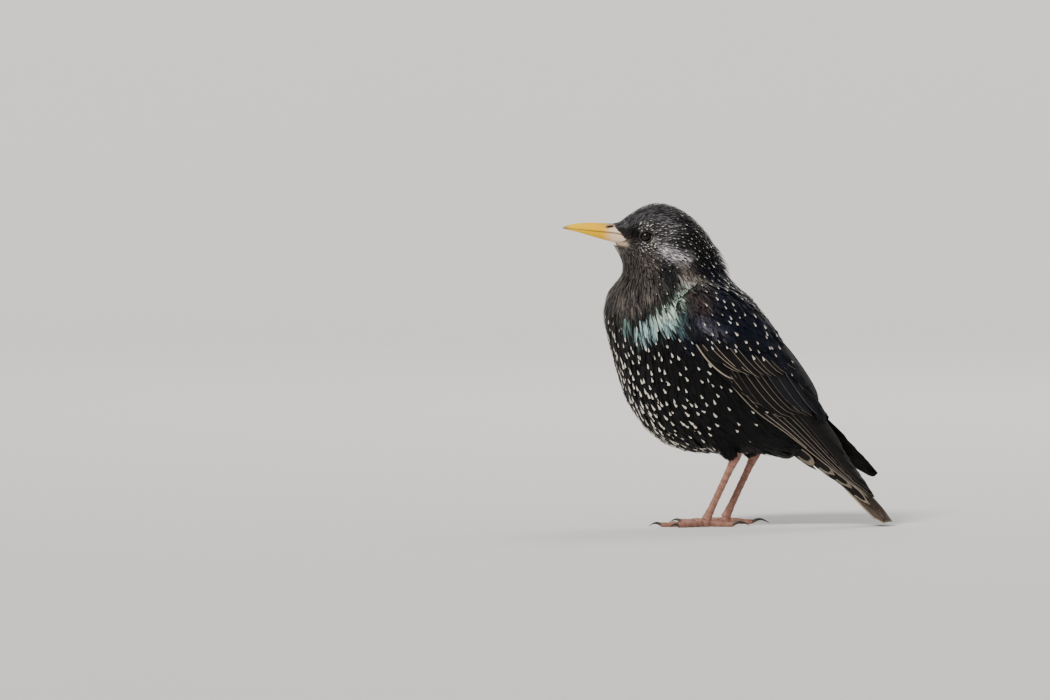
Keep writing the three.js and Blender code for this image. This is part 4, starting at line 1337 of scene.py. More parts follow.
@dataclass
class BodyForm:
    """The feathered body from the bill to the tail, as slices through its back line and its front line."""

    back: tuple[Pair, ...] = (
        (-45.4, 134.9), (-43.4, 136.2), (-39.9, 139.1), (-34.8, 142.2), (-27.8, 143.7), (-19.6, 141.8),
        (-11.6, 136.2), (-5.0, 128.2), (-0.2, 118.8), (4.8, 109.2), (13.2, 101.0), (20.4, 91.8),
        (26.4, 81.4), (31.4, 70.4), (35.2, 60.6), (38.6, 52.6), (41.8, 46.2), (44.8, 41.0),
    )
    front: tuple[Pair, ...] = (
        (-47.8, 125.8), (-46.4, 123.4), (-44.8, 120.9), (-43.6, 118.2), (-42.9, 115.4), (-42.7, 112.7),
        (-43.8, 110.4), (-45.9, 107.8), (-48.9, 103.9), (-51.0, 95.5), (-49.5, 85.6), (-45.8, 71.3),
        (-39.6, 54.0), (-29.4, 40.8), (-16.6, 34.4), (0.0, 32.8), (16.0, 32.6), (30.4, 30.2),
    )
    half: tuple[float, ...] = (
        3.2, 4.2, 5.4, 7.6, 9.8, 11.9, 14.2, 16.6, 19.8, 23.8, 26.6, 27.6, 26.4, 23.6, 20.0, 16.2, 12.4, 9.0,
    )
    roundness: float = 2.15
    around: int = 72
    rings: int = 110
    hip: Pair = (2.0, 44.0)
    heel: Pair = (11.0, 30.4)
    apart: float = 12.0
    stagger: float = 4.0
    thigh: Pair = (8.5, 2.9)

    def loft(self, grow: float) -> Form:
        """The body grown by some millimetres, without the thighs.

        Args:
            grow: How far its surface is moved out.

        Returns:
            Vertices and faces.
        """
        share = np.linspace(0, 1, self.rings)
        back, front = smooth_line(np.array(self.back), share), smooth_line(np.array(self.front), share)
        half = smooth_line(np.array(self.half)[:, None], share)[:, 0]
        middle, rise = (back + front) / 2, (back - front) / 2
        angle = np.linspace(0, 2 * np.pi, self.around, endpoint=False)
        ways, power = (np.sin(angle), np.cos(angle)), 2 / self.roundness
        aside, up = (np.sign(way) * np.abs(way) ** power for way in ways)
        grown = (1 + grow / np.linalg.norm(rise, axis=1))[:, None] * up[None, :]
        points = np.empty((self.rings, self.around, 3))
        points[..., 0] = middle[:, None, 0] + rise[:, None, 0] * grown
        points[..., 1] = (half + grow)[:, None] * aside[None, :]
        points[..., 2] = middle[:, None, 1] + rise[:, None, 1] * grown
        return close_ends(points).reshape(-1, 3), grid_faces(self.rings + 2, self.around, wrap=True)

    def leg_point(self, side: Side, place: Pair) -> np.ndarray:
        """A point in the plane of one leg, from its place in profile."""
        return np.array([place[0] + side.sign * self.stagger, side.sign * self.apart, place[1]])

    def thigh_cone(self, side: Side, grow: float) -> Form:
        """The feathered upper leg of one side, grown by some millimetres."""
        hip, heel = self.leg_point(side, self.hip), self.leg_point(side, self.heel)
        share = np.linspace(0, 1, 14)
        radii = between(self.thigh, share**0.8) + grow
        return tube(between((hip, heel), share[:, None]), radii, radii, 32)

    def spine_place(self, points: np.ndarray) -> tuple[np.ndarray, np.ndarray]:
        """Unwrap points round the body's middle line.

        Args:
            points: Points in profile millimetres.

        Returns:
            The share of the way from bill to tail, and the turn round the line, both from 0 to 1.
        """
        share = np.linspace(0, 1, 240)
        back, front = smooth_line(np.array(self.back), share), smooth_line(np.array(self.front), share)
        middle, rise = (back + front) / 2, unit(back - front)
        best = np.empty(len(points), int)
        for start in range(0, len(points), 20000):
            flat = points[start : start + 20000, None, ::2] - middle[None]
            best[start : start + 20000] = np.argmin((flat**2).sum(axis=-1), axis=1)
        up = ((points[:, ::2] - middle[best]) * rise[best]).sum(axis=1)
        turn = np.arctan2(points[:, 1], -up) / (2 * np.pi) + 0.5
        return share[best], turn


def tube(path: np.ndarray, deep: np.ndarray, wide: np.ndarray, sides: int) -> Form:
    """A closed tube along a path.

    Args:
        path: Its middle line.
        deep: Half its depth at each point.
        wide: Half its width at each point.
        sides: Vertices round it.

    Returns:
        Vertices and faces.
    """
    along = unit(np.gradient(path, axis=0))
    level = np.array([0.0, 1.0, 0.0])
    side = unit(level - along * (along @ level)[:, None])
    up = np.cross(side, along)
    angle = np.linspace(0, 2 * np.pi, sides, endpoint=False)
    rings = (
        path[:, None]
        + side[:, None] * (np.cos(angle)[None, :] * wide[:, None])[..., None]
        + up[:, None] * (np.sin(angle)[None, :] * deep[:, None])[..., None]
    )
    ends = [np.repeat(path[end, None], sides, 1) for end in (slice(1), slice(-1, None))]
    points = np.concatenate([ends[0], rings, ends[1]]).reshape(-1, 3)
    return points, grid_faces(len(path) + 2, sides, wrap=True)


class Flesh:
    """The smooth surfaces under and over the coat, joined from the body, the thighs and the folded wings."""

    def __init__(self, body: BodyForm, wings: list[Wing], placing: Placing) -> None:
        """Keep the forms."""
        self.body = body
        self.wings = wings
        self.placing = placing

    def _melt(self, forms: list[Form], name: str, voxel: float, rounds: int) -> bpy.types.Object:
        """Join closed forms into one smooth surface.

        Args:
            forms: Vertices and faces of each.
            name: The new object's name.
            voxel: The size of the surface's cells, in millimetres.
            rounds: How often it is smoothed.

        Returns:
            The new object.
        """
        starts = np.cumsum([0, *(len(points) for points, _ in forms)])
        points = self.placing.to_frame(np.vstack([points for points, _ in forms]))
        faces = np.vstack([faces + start for (_, faces), start in zip(forms, starts)])
        mesh = bpy.data.meshes.new(name)
        mesh.from_pydata(points.tolist(), [], faces.tolist())
        piece = link(name, mesh)
        remesh = piece.modifiers.new("surface", "REMESH")
        remesh.mode = "VOXEL"
        remesh.voxel_size = voxel * MM
        smooth = piece.modifiers.new("smooth", "SMOOTH")
        smooth.factor = 0.5
        smooth.iterations = rounds
        graph = bpy.context.evaluated_depsgraph_get()
        melted = bpy.data.meshes.new_from_object(piece.evaluated_get(graph))
        piece.modifiers.clear()
        piece.data = melted
        return piece

    def skin(self, depth: float, finish: bpy.types.Material, marks: Marks) -> bpy.types.Object:
        """Make the skin that lies under the coat.

        Args:
            depth: How deep under the solids, in millimetres.
            finish: Its finish.
            marks: The coat's tints, with their painted sheen, and spots, which the skin carries too.

        Returns:
            The skin.
        """
        forms = [self.body.loft(-depth)] + [self.body.thigh_cone(side, -0.6 * depth) for side in Side]
        piece = self._melt(forms, "skin", 0.8, 8)
        mesh = piece.data
        mesh.shade_smooth()
        mesh.materials.clear()
        mesh.materials.append(finish)
        co = np.empty(len(mesh.vertices) * 3, np.float32)
        mesh.vertices.foreach_get("co", co)
        places = self.placing.to_profile(co.reshape(-1, 3))
        share, turn = self.body.spine_place(places)
        values = marks.at(places)
        flecks = np.clip(values[:, DOTS] / 20.0, 0.0, 1.0) ** 0.5 * (values[:, SPOT] > 0.3)
        store(mesh, "tint", np.column_stack([values[:, TINT][:, :3], flecks]), slice(None))
        corners, starts = np.empty(len(mesh.loops), np.int32), np.empty(len(mesh.polygons), np.int32)
        mesh.loops.foreach_get("vertex_index", corners)
        mesh.polygons.foreach_get("loop_start", starts)
        around = turn[corners]
        highest = np.repeat(np.maximum.reduceat(around, starts), np.diff(np.append(starts, len(corners))))
        around = (around + (highest - around > 0.5)) * 0.98
        store(mesh, "OFBake", np.column_stack([np.clip(around, 0, 1), share[corners]]), slice(None))
        return piece

    def outer(self, bill: Bill) -> DrapeSurface:
        """The bird's outer form, which the coat is draped on."""
        forms = [self.body.loft(0.0)] + [self.body.thigh_cone(side, 0.0) for side in Side]
        forms += [wing.slab(1.2, 7.0) for wing in self.wings]
        forms += [bill.half_bill(upper)[:2] for upper in (True, False)]
        piece = self._melt(forms, "outer_form", 0.8, 30)
        surface = DrapeSurface.of_mesh(piece.data, self.placing)
        bpy.data.objects.remove(piece)
        return surface


class Marks:
    """The coat's guides and its strokes of painted sheen and plain colour, mixed at any place."""

    softness = 3.0
    focus = 2.9

    def __init__(self) -> None:
        """Gather the guides as arrays."""
        self.places = np.array([guide.at for guide in GUIDES.values()])
        self.rows = np.array([guide.row() for guide in GUIDES.values()])

    def at(self, places: np.ndarray) -> np.ndarray:
        """Mix the guides at places.

        Args:
            places: Points in profile millimetres.

        Returns:
            A row of a guide's values for each place.
        """
        folded = places * np.array([1.0, 0.0, 1.0]) + np.abs(places) * np.array([0.0, 1.0, 0.0])
        away = ((folded[:, None] - self.places[None]) ** 2).sum(axis=-1)
        weight = 1.0 / (away + self.softness) ** self.focus
        mixed = weight @ self.rows / weight.sum(axis=1, keepdims=True)
        mixed[:, 1] *= np.where(places[:, 1] < 0, -1.0, 1.0)
        for sheen in SHEENS.values():
            share, stroke = sheen.share(places)[:, None], np.array([*sheen.colour, sheen.gloss])
            mixed[:, TINT] += share * (stroke - mixed[:, TINT])
        return mixed


@dataclass
class Coat:
    """All the small feathers that lie along the body.

    The spots of a square centimetre share the spot room, in square millimetres. A feather with a spot is
    wider, the more so where it isn't narrow, and it is blunter and stands off more. Yaw, tilt, the two
    ragged values and the scopes say how much one feather differs from the next.
    """

    body: BodyForm
    surface: DrapeSurface
    wings: list[Wing]
    marks: Marks
    candidates: int = 200000
    shown: float = 0.8
    patch: float = 0.003
    sunk: float = 0.5
    camber: float = 0.12
    eye: Triple = (-32.5, 8.9, 129.0)
    eye_clear: float = 3.1
    bill_edge: tuple[Pair, ...] = (
        (123.2, -40.0), (125.4, -40.3), (127.4, -41.6), (129.0, -43.0), (130.6, -44.4), (131.8, -46.0),
        (133.5, -47.2), (134.5, -48.0), (136.4, -48.4),
    )
    at_bill: Pair = (39.5, 42.5)
    on_horn: float = 0.4
    wing_edge: tuple[Pair, ...] = (
        (0.17, -0.1), (0.21, 0.1), (0.30, 0.3), (0.375, 0.5), (0.43, 0.74), (0.6, 0.86),
    )
    wing_reach: float = 3.0
    wing_low: float = 0.03
    gape: Triple = (125.7, 0.26, 48.0)
    heel: Pair = (6.0, 18.0)
    heel_top: float = 31.5
    heel_out: float = 8.0
    eye_out: float = 6.0
    spot_room: float = 70.0
    fewest: float = 0.3
    narrow: float = 0.5
    spot_half: Pair = (1.1, 1.15)
    spot_point: float = 0.35
    spot_lift: float = 0.2
    yaw: float = 0.13
    tilt: float = 0.05
    fringe: float = 0.16
    ragged: Pair = (0.1, 0.05)
    crowding: float = 0.85
    rising: float = 0.75
    length_scope: Pair = (0.85, 0.3)
    half_scope: Pair = (0.88, 0.24)
    lift_scope: Pair = (0.6, 0.8)
    spot_scope: Pair = (0.7, 0.5)
    tint_scope: Pair = (0.7, 0.6)

    @staticmethod
    def _thin(places: np.ndarray, gaps: np.ndarray) -> np.ndarray:
        """Keep places, in their order, that stand clear of those kept before.

        Args:
            places: Points in profile millimetres.
            gaps: How clear each must stand, in millimetres.

        Returns:
            The numbers of the places kept.
        """
        tree = near_tree(places)
        free = np.ones(len(places), bool)
        kept = []
        for index, (place, gap) in enumerate(zip(places.tolist(), gaps.tolist())):
            if free[index]:
                kept.append(index)
                free[[entry[1] for entry in tree.find_range(place, gap)]] = False
        return np.array(kept)

    def sow(self, draw: np.random.Generator) -> tuple[np.ndarray, np.ndarray, np.ndarray]:
        """Choose the roots, spaced as the guides say, and clear of the eyes, bill and open wing.

        Args:
            draw: The seeded draw.

        Returns:
            Roots, normals and guide values, with a spot length of 0 where a feather has none.
        """

        def dense(middles: np.ndarray) -> np.ndarray:
            """How closely the feathers stand at places."""
            return 1 / self.marks.at(middles)[:, SPACING] ** 2

        places, normals = self.surface.scatter(self.candidates, dense, draw)
        clear = self._bare(places)
        places, normals = places[clear], normals[clear]
        values = self.marks.at(places)
        kept = self._thin(places, values[:, SPACING])
        places, normals, values = places[kept], normals[kept], values[kept]
        shown = places + unit(values[:, LIE]) * (values[:, LENGTH] * self.shown)[:, None]
        values[:, SPOT:] = self.marks.at(shown)[:, SPOT:]
        gaps = np.sqrt(self.spot_room / np.maximum(values[:, DOTS], 0.02))
        packed = np.argsort(gaps)[: np.sum(values[:, DOTS] > self.fewest)]
        spotted = np.zeros(len(places), bool)
        spotted[packed[self._thin(shown[packed], gaps[packed])]] = True
        values[:, SPOT] *= spotted
        values[spotted, HALF] *= np.where(values[spotted, HALF] < self.narrow, *self.spot_half)
        values[spotted, POINT] *= self.spot_point
        values[spotted, LIFT] += self.spot_lift
        return places, normals, values

    def _bare(self, places: np.ndarray) -> np.ndarray:
        """Which places may carry a feather's root: none on the open wing, the eye, the bill or the heel."""
        clear = np.ones(len(places), bool)
        for wing in self.wings:
            side = places[:, 1] * wing.side.sign > 0
            along, across, away = wing.place_on(places[side])
            edge = np.interp(along, *np.array(self.wing_edge).T)
            open_wing = (away < self.wing_reach) & (across > self.wing_low) & (across < edge)
            clear[np.flatnonzero(side)[open_wing]] = False
        x, y, z = places.T
        heights, edge = np.array(self.bill_edge).T
        height, slope, before = self.gape
        back, front = self.heel
        on_eye = (np.hypot(x - self.eye[0], z - self.eye[2]) < self.eye_clear) & (np.abs(y) > self.eye_out)
        on_bill = (x < np.interp(z, heights, edge)) & (z > height - slope * (x + before))
        on_heel = (z < self.heel_top) & (np.abs(y) > self.heel_out) & (x > back) & (x < front)
        return clear & ~on_eye & ~on_bill & ~on_heel

    def lay(
        self, roots: np.ndarray, normals: np.ndarray, values: np.ndarray, grid: list[int],
        draw: np.random.Generator,
    ) -> VaneSet:
        """Lay a feather from every root.

        Args:
            roots: Where they grow.
            normals: The way that the surface faces there.
            values: The guides' values there.
            grid: Rows and columns of a feather's vertices.
            draw: The seeded draw.

        Returns:
            The feathers.
        """
        count, (rows, columns) = len(roots), grid
        lie = self._flat(values[:, LIE], normals)
        yaw = draw.normal(0.0, self.yaw, count)[:, None]
        lie = unit(lie * np.cos(yaw) + np.cross(normals, lie) * np.sin(yaw))
        length = values[:, LENGTH] * varied(draw, self.length_scope, count)
        length = np.minimum(length, self._to_eye(roots, lie))
        half = (values[:, HALF] * varied(draw, self.half_scope, count))[:, None, None]
        row, aside = np.linspace(0, 1, rows) ** self.crowding, np.linspace(-1, 1, columns)
        path, facing, way = [roots], [normals], lie
        for step in np.diff(row):
            place, normal = self.surface.nearest(path[-1] + way * (length * step)[:, None])
            way = self._flat(way, normal)
            path.append(place)
            facing.append(normal)
        path, facing = np.stack(path, axis=1), np.stack(facing, axis=1)
        along = unit(np.gradient(path, axis=1))
        sideways = unit(np.cross(facing, along))
        wide = self._outlines(row, values) * (1 + unsettled(draw, self.ragged[0], (count, rows)))
        offset = half * wide[..., None] * aside
        ragged = unsettled(draw, self.ragged[1], (count, rows, columns)) * half
        reach = path[:, :, None] + sideways[:, :, None] * (offset + ragged)[..., None]
        spread, spread_facing = self.surface.nearest(reach)
        fringe = self.fringe * (aside**2) * smoothstep(0.7, 1.0, row)[:, None] * half
        spread = spread - along[:, :, None] * fringe[..., None]
        lift = values[:, LIFT] * varied(draw, self.lift_scope, count)
        sunk = self.sunk - (self.sunk + self.on_horn) * smoothstep(*self.at_bill, -roots[:, 0])
        rise = -sunk[:, None] + (lift + sunk)[:, None] * row[None] ** self.rising
        tilt = draw.normal(0.0, self.tilt, count)[:, None, None] * aside * half
        above = rise[..., None] - self.camber * half * (aside**2) + tilt * row[:, None]
        top = spread + spread_facing * above[..., None]
        before_tip = (1 - row)[None, :, None] * length[:, None, None] + 0 * offset
        edge = np.minimum(half * wide[..., None] * (1 - np.abs(aside)), before_tip)
        spot, shade = values[:, SPOT] * varied(draw, self.spot_scope, count), draw.random(count)
        tint = np.clip(values[:, TINT] * varied(draw, self.tint_scope, (count, 1)), 0, 1)
        vanes = VaneSet(top, offset, before_tip, edge, self._patches(roots, row, aside), spot, shade, tint)
        vanes.face(normals)
        return vanes

    @staticmethod
    def _flat(ways: np.ndarray, normals: np.ndarray) -> np.ndarray:
        """Ways laid down on a surface that faces the normals."""
        return unit(ways - normals * (ways * normals).sum(axis=1, keepdims=True))

    @staticmethod
    def _outlines(row: np.ndarray, values: np.ndarray) -> np.ndarray:
        """The share of its half-width that each feather has at each row: blunter where it has a spot."""
        shapes = (TipShape.ROUND, TipShape.LANCE, TipShape.BLUNT)
        places = np.linspace(0, 1, len(TipShape.ROUND.value))
        round_tip, lance_tip, blunt_tip = (np.interp(row, places, shape.value) for shape in shapes)
        point = values[:, POINT][:, None]
        wide = (1 - point) * round_tip + point * lance_tip
        return np.where(values[:, SPOT][:, None] > 0, 0.25 * wide + 0.75 * blunt_tip, wide)

    def _to_eye(self, roots: np.ndarray, lie: np.ndarray) -> np.ndarray:
        """How far a feather may run before it would cover the eye."""
        start = roots[:, ::2] - np.array([self.eye[0], self.eye[2]])
        way = lie[:, ::2]
        b = (start * way).sum(axis=1)
        c = (start**2).sum(axis=1) - (self.eye_clear - 0.55) ** 2
        inside = b**2 - c
        hit = np.where((inside > 0) & (b < 0), -b - np.sqrt(np.maximum(inside, 0)), 1e3)
        return np.where(np.abs(roots[:, 1]) > 5, np.maximum(hit, 0.9), 1e3)

    def _patches(self, roots: np.ndarray, row: np.ndarray, aside: np.ndarray) -> np.ndarray:
        """A patch of the bake map at each root's place on the unwrapped skin."""
        share, turn = (part[:, None, None] * 0.99 for part in self.body.spine_place(roots))
        down, over = np.meshgrid(self.patch * row, self.patch * (aside / 2 + 0.5), indexing="ij")
        return np.stack([turn + over, share + down], axis=-1)

    def build(
        self, placing: Placing, finish: bpy.types.Material, draw: np.random.Generator
    ) -> list[bpy.types.Object]:
        """Make the coat, in one piece for each region.

        Args:
            placing: Where the bird lies.
            finish: Its finish.
            draw: The seeded draw.

        Returns:
            The pieces.
        """
        roots, normals, values = self.sow(draw)
        share, turn = self.body.spine_place(roots)
        level = np.abs(turn - 0.5) * 2
        pieces = []
        for region in Region:
            first, last, back, front, *grid = region.value
            here = (share >= first) & (share < last) & (level >= back) & (level < front)
            piece = MeshPiece(placing)
            self.lay(roots[here], normals[here], values[here], grid, draw).pour(piece)
            pieces.append(piece.build(f"coat_{region.name.lower()}", finish))
            LOG.info("%s: %d feathers", pieces[-1].name, int(here.sum()))
        return pieces


class Region(Enum):
    """A region of the coat: shares along the body, and from the back line at 0 to the front line at 1.

    The last two numbers are the rows and columns of a feather's vertices there.
    """

    HEAD = (0.0, 0.34, 0.0, 1.01, 7, 3)
    NECK = (0.34, 0.5, 0.0, 1.01, 9, 3)
    BREAST = (0.5, 0.7, 0.5, 1.01, 9, 5)
    MANTLE = (0.5, 0.7, 0.0, 0.5, 9, 5)
    BELLY = (0.7, 1.01, 0.5, 1.01, 9, 5)
    RUMP = (0.7, 1.01, 0.0, 0.5, 9, 5)


@dataclass(frozen=True)
class TailKind:
    """What the vanes of one layer of the tail are like.

    The outermost ones turn up by a roll in degrees. A pale edge has its least and its greatest width, a
    divisor that draws it in round the tip, and how buff it is.
    """

    half: float
    shape: TipShape
    roll: float
    pale: Pair
    tipped: float
    buff: float
    colour: Triple


@dataclass
class Tail:
    """Twelve tail feathers, the coverts under their roots and the coverts over them."""

    tip: Pair = (77.9, 3.0)
    slope: float = 45.0
    length: float = 52.5
    tip_half: float = 9.2
    droop: float = 1.5
    pairs: int = 6
    root: Pair = (0.5, 0.4)
    spread: Pair = (1.0, 1.14)
    step: float = 0.5
    shorter: float = 0.36
    bend: float = 1.4
    rows: int = 18
    columns: int = 7
    thick: float = 0.2
    crowding: float = 0.85
    drawn: float = 0.035
    camber: float = 0.12
    tip_length: float = 7.0
    inner_share: float = 0.45
    shade_breadth: float = 0.2
    light_scope: Pair = (0.8, 0.4)
    rises: Pair = (2.2, -1.0)
    kind: TailKind = TailKind(2.9, TipShape.BLUNT, -62.0, (0.24, 0.42), 1.0, 0.9, (0.125, 0.088, 0.066))
    under_kind: TailKind = TailKind(2.6, TipShape.ROUND, 58.0, (0.6, 0.8), 4.0, 0.72, (0.012, 0.009, 0.008))
    over_kind: TailKind = TailKind(2.6, TipShape.ROUND, -20.0, (0.3, 0.45), 1.0, 0.5, (0.010, 0.010, 0.012))
    under_tiers: tuple[tuple[int, Triple, Triple, float], ...] = (
        (5, (56.0, -6.4, 0.8), (11.0, -5.0, 7.6), 2.6),
        (6, (57.0, -7.6, 0.8), (21.0, -5.4, 7.6), 2.7),
        (6, (58.0, -9.0, 0.8), (31.0, -6.8, 7.6), 2.7),
        (7, (59.5, -12.2, 0.8), (40.5, -9.4, 7.0), 2.5),
    )
    over_tiers: tuple[tuple[int, Triple, Triple, float], ...] = (
        (6, (56.5, -0.8, 0.8), (33.5, 0.8, 4.6), 2.6),
        (5, (58.5, 0.0, 0.8), (40.5, 1.6, 4.4), 2.5),
    )

    def point(self, before: np.ndarray, aside: np.ndarray, above: np.ndarray) -> np.ndarray:
        """Points of the tail: how far before its tip, to the side, and above its upper face."""
        lean = math.radians(self.slope)
        x = self.tip[0] - before * math.cos(lean) + above * math.sin(lean)
        z = self.tip[1] + before * math.sin(lean) + above * math.cos(lean)
        return np.stack([x, aside, z], axis=-1)

    def vanes(
        self, roots: np.ndarray, tips: np.ndarray, bend: np.ndarray, kind: TailKind, draw: np.random.Generator
    ) -> VaneSet:
        """Lay vanes from roots to tips, each given as before, aside and above.

        Args:
            roots: Where they grow.
            tips: Where they end.
            bend: How far each tip bends down.
            kind: What they are like.
            draw: The seeded draw.

        Returns:
            The vanes.
        """
        count, hanging = len(roots), kind.roll <= 0
        grid = VaneGrid(self.rows, self.columns, self.crowding, self.drawn)
        aside, path, outline = grid.aside, grid.path, grid.outline(kind.shape)
        before, middle, height = grid.ways(roots, tips)
        offset = aside * kind.half * outline + 0 * before
        far_out = np.abs(tips[:, 1])
        turn = math.radians(kind.roll) * (tips[:, 1] / max(far_out.max(), 1e-6))[:, None, None]
        across = middle + offset * np.cos(turn)
        above = height + offset * np.sin(turn) - self.camber * aside**2 - bend[:, None, None] * path**6
        above = above - (self.droop * (across / self.tip_half) ** 2 if hanging else 0)
        top = self.point(before, across, above)
        under = self.point(before, across, above - self.thick)
        before_tip = (1 - path) * np.abs(roots[:, 0] - tips[:, 0])[:, None, None]
        edge = np.minimum(kind.half * outline * (1 - np.abs(aside)), before_tip / kind.tipped)
        outer = -offset * np.sign(middle[:, -1:, :1] + 1e-6)
        outer = np.where((before_tip < self.tip_length) & (not hanging), -np.abs(offset), outer)
        edged = (far_out > self.inner_share * far_out.max()) | hanging
        widths = between(kind.pale, draw.random(count)) * edged
        shade = np.clip(kind.buff + unsettled(draw, self.shade_breadth, count), 0, 1)
        tints = np.array(kind.colour) * varied(draw, self.light_scope, count)[:, None]
        tint = np.column_stack([tints, draw.random(count)])
        maps = atlas(count, self.rows, self.columns)
        vanes = VaneSet(top, outer, before_tip, edge, maps[0], widths, shade, tint, under, maps[1])
        lean = math.radians(self.slope)
        vanes.face(np.tile([math.sin(lean), 0.0, math.cos(lean)], (count, 1)))
        return vanes

    def feathers(
        self, placing: Placing, finish: bpy.types.Material, draw: np.random.Generator
    ) -> bpy.types.Object:
        """Make the twelve tail feathers.

        Args:
            placing: Where the bird lies.
            finish: Their finish.
            draw: The seeded draw.

        Returns:
            The piece.
        """
        roots, tips, bend = [], [], []
        for pair in reversed(range(self.pairs)):
            for side in Side:
                above = -self.step * (pair + (0.5 if side is Side.RIGHT_SIDE else 0.0))
                root, tip = (side.sign * (first + apart * pair) for first, apart in (self.root, self.spread))
                roots.append((self.length - 1.0, root, above))
                tips.append((self.shorter * pair, tip, above))
                bend.append(self.bend * (1 - pair / self.pairs))
        piece = MeshPiece(placing)
        self.vanes(np.array(roots), np.array(tips), np.array(bend), self.kind, draw).pour(piece)
        return piece.build("tail_feathers", finish)

    def coverts(
        self, placing: Placing, finish: bpy.types.Material, draw: np.random.Generator
    ) -> bpy.types.Object:
        """Make the coverts under and over the tail's root.

        Args:
            placing: Where the bird lies.
            finish: Their finish.
            draw: The seeded draw.

        Returns:
            The piece.
        """
        piece = MeshPiece(placing)
        groups = [(tier, self.rises[0], self.under_kind) for tier in self.under_tiers]
        groups += [(tier, self.rises[1], self.over_kind) for tier in self.over_tiers]
        for (count, root, end, half), rise, kind in groups:
            aside = np.linspace(-1, 1, count)
            wander = draw.random((2, count)) - 0.5
            arch = rise * aside**2
            roots = np.column_stack([root[0] + 0 * aside, aside * end[2] * root[2], root[1] + arch])
            before = end[0] + 2.0 * np.abs(aside) + 2.0 * wander[0]
            above = end[1] + arch + 0.3 * (np.arange(count) % 2)
            tips = np.column_stack([before, aside * end[2] + wander[1], above])
            self.vanes(roots, tips, np.zeros(count), replace(kind, half=half), draw).pour(piece)
        return piece.build("tail_coverts", finish)


@dataclass
class Bill:
    """The two halves of the bill: slices from the base to the tip by culmen, mouth and keel."""

    x: tuple[float, ...] = (-40.5, -46.4, -50.4, -56.9, -63.0, -67.6, -70.1)
    culmen: tuple[float, ...] = (134.0, 134.6, 134.8, 135.0, 134.8, 133.9, 133.0)
    mouth: tuple[float, ...] = (129.2, 130.6, 131.0, 131.5, 132.1, 132.5, 132.7)
    keel: tuple[float, ...] = (124.2, 125.8, 127.0, 128.8, 130.6, 131.7, 132.3)
    half: tuple[float, ...] = (6.2, 4.4, 3.6, 2.6, 1.7, 0.95, 0.35)
    nostril: Triple = (-49.0, 3.0, 133.25)
    nostril_size: Pair = (2.4, 0.72)
    rings: int = 72
    around: int = 48
    seam: float = 0.12
    sunk: float = 0.75
    shelf: float = 0.12

    def _slices(self) -> tuple[np.ndarray, ...]:
        """The slices' sizes at close steps."""
        share = np.linspace(0, 1, self.rings) ** 0.9
        table = np.array([self.x, self.culmen, self.mouth, self.keel, self.half]).T
        fine = smooth_line(table, share)
        return tuple(fine.T)

    def _nostril(self, points: np.ndarray, above: np.ndarray) -> np.ndarray:
        """Sink the nostrils into the upper half, each under a small shelf.

        Args:
            points: The half's vertices by ring, which are moved.
            above: Which of a ring's vertices lie above the mouth.

        Returns:
            How deep in a nostril each vertex is, from 0 to 1.
        """
        x, _, z = self.nostril
        length, height = self.nostril_size
        across = (points[..., 0] - x) / length
        high = (points[..., 2] - z - 0.12 * (points[..., 0] - x)) / height
        hole = (1 - smoothstep(0.55, 1.05, np.hypot(across, high))) * above[None]
        points[..., 1] -= np.sign(points[..., 1]) * self.sunk * hole
        shelf = np.exp(-(((high - 1.3) / 0.5) ** 2) - across**2) * above[None]
        points[..., 1] += np.sign(points[..., 1]) * self.shelf * shelf
        return hole

    def half_bill(self, upper: bool) -> tuple[np.ndarray, np.ndarray, dict[str, np.ndarray]]:
        """One half of the bill.

        Args:
            upper: Whether it is the upper half.

        Returns:
            Vertices, faces and the shares that the finish reads.
        """
        x, culmen, mouth, keel, half = self._slices()
        angle = np.linspace(0, 2 * np.pi, self.around, endpoint=False)
        side, rise = np.cos(angle), np.sin(angle)
        sign, power, narrow, mouth_dark = (1.0, 1.12, 1.0, 0.6) if upper else (-1.0, 0.95, 0.94, 1.0)
        tall = (culmen - mouth) if upper else np.maximum(mouth - self.seam - keel, 0.15)
        flat = mouth if upper else mouth - self.seam
        outside = np.where(rise > 0, np.abs(rise) ** power, -0.06 * np.abs(rise))
        points = np.empty((self.rings, self.around, 3))
        points[..., 0] = x[:, None]
        points[..., 1] = (half * narrow)[:, None] * (np.abs(side) ** 0.9 * np.sign(side))[None]
        points[..., 2] = flat[:, None] + sign * tall[:, None] * outside[None]
        flank = smoothstep(0.0, 0.5, np.abs(side))[None] * (rise > 0)[None]
        groove = smoothstep(0.0, 0.06, np.linspace(0, 1, self.rings))[:, None] * flank
        points[..., 1] *= 1 - 0.05 * groove * np.sin(np.clip(rise, 0, 1) * np.pi)[None]
        hole = self._nostril(points, rise > 0) if upper else np.zeros((self.rings, self.around))
        along = (x[0] - points[..., 0]) / (x[0] - x[-1])
        ridge = smoothstep(0.35, 0.95, rise)[None] * (1 - smoothstep(0.2, 0.52, along)) * upper
        # The mouth share makes the line where the halves meet darker, most on the lower half under the
        # upper's edge: painted shade.
        seam = mouth_dark * (1 - smoothstep(0.0, 0.16, np.abs(rise))) + 0 * along
        shares = {"along": along, "nostril": hole, "mouth": seam, "ridge": ridge}
        values = {name: np.pad(share, ((1, 1), (0, 0)), "edge").ravel() for name, share in shares.items()}
        faces = grid_faces(self.rings + 2, self.around, wrap=True)
        return close_ends(points).reshape(-1, 3), faces if upper else faces[:, ::-1], values

    def build(self, placing: Placing, finish: bpy.types.Material) -> list[bpy.types.Object]:
        """Make both halves.

        Args:
            placing: Where the bird lies.
            finish: Their finish.

        Returns:
            The upper and the lower half.
        """
        made = []
        for name, upper in (("bill_horn_upper", True), ("bill_horn_lower", False)):
            points, faces, values = self.half_bill(upper)
            piece = MeshPiece(placing)
            piece.add(points, faces, **values)
            made.append(piece.build(name, finish))
        return made


